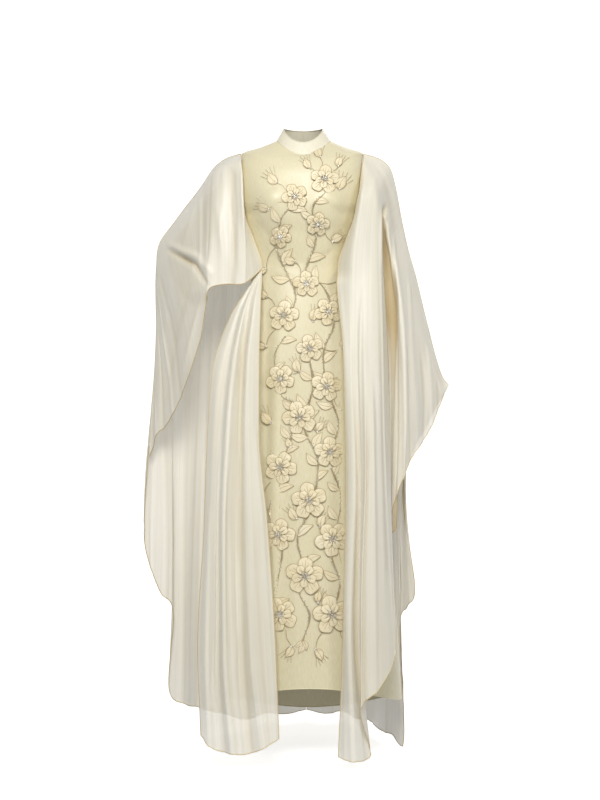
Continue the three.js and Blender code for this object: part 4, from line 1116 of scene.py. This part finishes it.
for x, z, heading, length in BUDS:
    length *= 1.25
    leaf(x, z, heading, length, length * 0.62, 2.0)
    leaf(x, z, heading + 26, length * 0.72, length * 0.34, 1.5)
    leaf(x, z, heading - 24, length * 0.68, length * 0.32, 1.5)
    add_beads(x + rng.uniform(-3, 3, 6), z + rng.uniform(-3, 3, 6), 2.9, 1.5)
    for k in range(5):
        a = math.radians(heading + (k - 2) * 13)
        s = np.linspace(0.75 * length, (1.15 + 0.22 * rng.random()) * length, 4)
        add_cord(x + s * math.cos(a), z + s * math.sin(a), 1.7, 0.4)
        add_beads(x + s[-1] * math.cos(a), z + s[-1] * math.sin(a), 1.9, 0.75)
    near = min(BLOSSOMS, key=lambda f: math.hypot(x - f["x"], z - f["z"]))
    gap = math.hypot(x - near["x"], z - near["z"])
    edge = 0.9 * near["radius"] / gap
    start = (near["x"] + (x - near["x"]) * edge, near["z"] + (z - near["z"]) * edge)
    if gap > near["radius"]:
        middle = ((start[0] + x) / 2 + 0.12 * (z - start[1]), (start[1] + z) / 2 - 0.12 * (x - start[0]))
        line = along_path([start, middle, (x, z)], 4.0)
        add_cord(line[:, 0], line[:, 1], 1.5, 0.7)

leaves = patch_object("applique_leaves", leaf_patches, petal_organza)
cords = tube_object("applique_cords", cord_paths, cord_radii, cord_thread, sides=5)
beads = ball_object("beads", bead_centres, bead_radii, bead_silver)

# ---------------------------------------------------------------- what goes with each piece

# The pieces that rest on each piece of cloth and go with it.
goes_with["collar"].append(neck_seam)
goes_with["dress_front"] += [side_seams, leaves, cords, beads] + applique
goes_with["cape_front_left"].append(seams)

# ---------------------------------------------------------------- stage, light and camera

scene = bpy.context.scene
# A floor that bends up into a wall, in millimetres.
STAGE = dict(reach=6000, floor=-1504.0, bend_at=1200, bend=1500, top=5200)


def stage_white():
    material = bpy.data.materials.new("stage_white")
    material.use_nodes = True
    shader = material.node_tree.nodes["Principled BSDF"]
    shader.inputs["Base Color"].default_value = (0.9, 0.9, 0.9, 1)
    shader.inputs["Roughness"].default_value = 0.9
    shader.inputs["Emission Color"].default_value = (1, 1, 1, 1)
    shader.inputs["Emission Strength"].default_value = 0.7
    # seen from behind the sweep is clear, so that it hides nothing
    nodes, links = material.node_tree.nodes, material.node_tree.links
    side, clear, mix = (add_node(nodes, kind) for kind in ("NewGeometry", "BsdfTransparent", "MixShader"))
    links.new(side.outputs["Backfacing"], mix.inputs[0])
    links.new(shader.outputs["BSDF"], mix.inputs[1])
    links.new(clear.outputs["BSDF"], mix.inputs[2])
    links.new(mix.outputs[0], nodes["Material Output"].inputs["Surface"])
    return material


reach, floor, bend_at, bend = (STAGE[key] for key in ("reach", "floor", "bend_at", "bend"))
sweep = np.linspace(0, np.pi / 2, 13)
profile = [(-reach, floor)]
profile += [(bend_at + bend * math.sin(a), floor + bend * (1 - math.cos(a))) for a in sweep]
profile += [(bend_at + bend, STAGE["top"])]
stage_points = np.array([[(x, y, z) for x in (-reach, reach)] for y, z in profile], float)
backdrop = mesh_object("backdrop", stage_points, grid_faces(len(profile), 2), stage_white())
backdrop.visible_diffuse = backdrop.visible_shadow = False  # it is seen, but lights and shades nothing

world = bpy.data.worlds.new("world")
scene.world = world
world.use_nodes = True
world.node_tree.nodes["Background"].inputs["Color"].default_value = (1, 1, 1, 1)
world.node_tree.nodes["Background"].inputs["Strength"].default_value = 0.3


def area_light(name, place, aim, size, power, colour):
    light = bpy.data.lights.new(name, "AREA")
    light.shape, light.size, light.size_y = "RECTANGLE", size[0], size[1]
    light.energy, light.color = power, colour
    obj = bpy.data.objects.new(name, light)
    scene.collection.objects.link(obj)
    x, y, z = np.asarray(aim, float) - np.asarray(place, float)
    obj.location = place
    obj.rotation_euler = (math.atan2(math.hypot(x, y), -z), 0, math.atan2(-x, y))


LIGHTS = table(
    "name place aim size power colour",
    ("key", (-0.3, -3.4, 1.7), (0, 0, -0.35), (1.5, 1.4), 122, (1, 0.99, 0.975)),
    ("fill", (2.4, -2.6, 0.1), (0.1, 0, -0.5), (1.0, 2.0), 22, (1, 0.995, 0.985)),
    ("back", (1.2, 3.6, 1.6), (0, 0, -0.6), (1.6, 1.6), 45, (1, 0.99, 0.98)),
)
for light in LIGHTS:
    area_light(**light)

camera = bpy.data.cameras.new("camera")
camera.lens, camera.sensor_width = 73.8, 36.0
camera.clip_end = 50
eye = bpy.data.objects.new("camera", camera)
eye.location = (-0.009, -4.1, -0.625)
eye.rotation_euler = (math.pi / 2, 0, 0)
scene.collection.objects.link(eye)
scene.camera = eye
scene.view_settings.view_transform = "Standard"
scene.view_settings.look = "None"
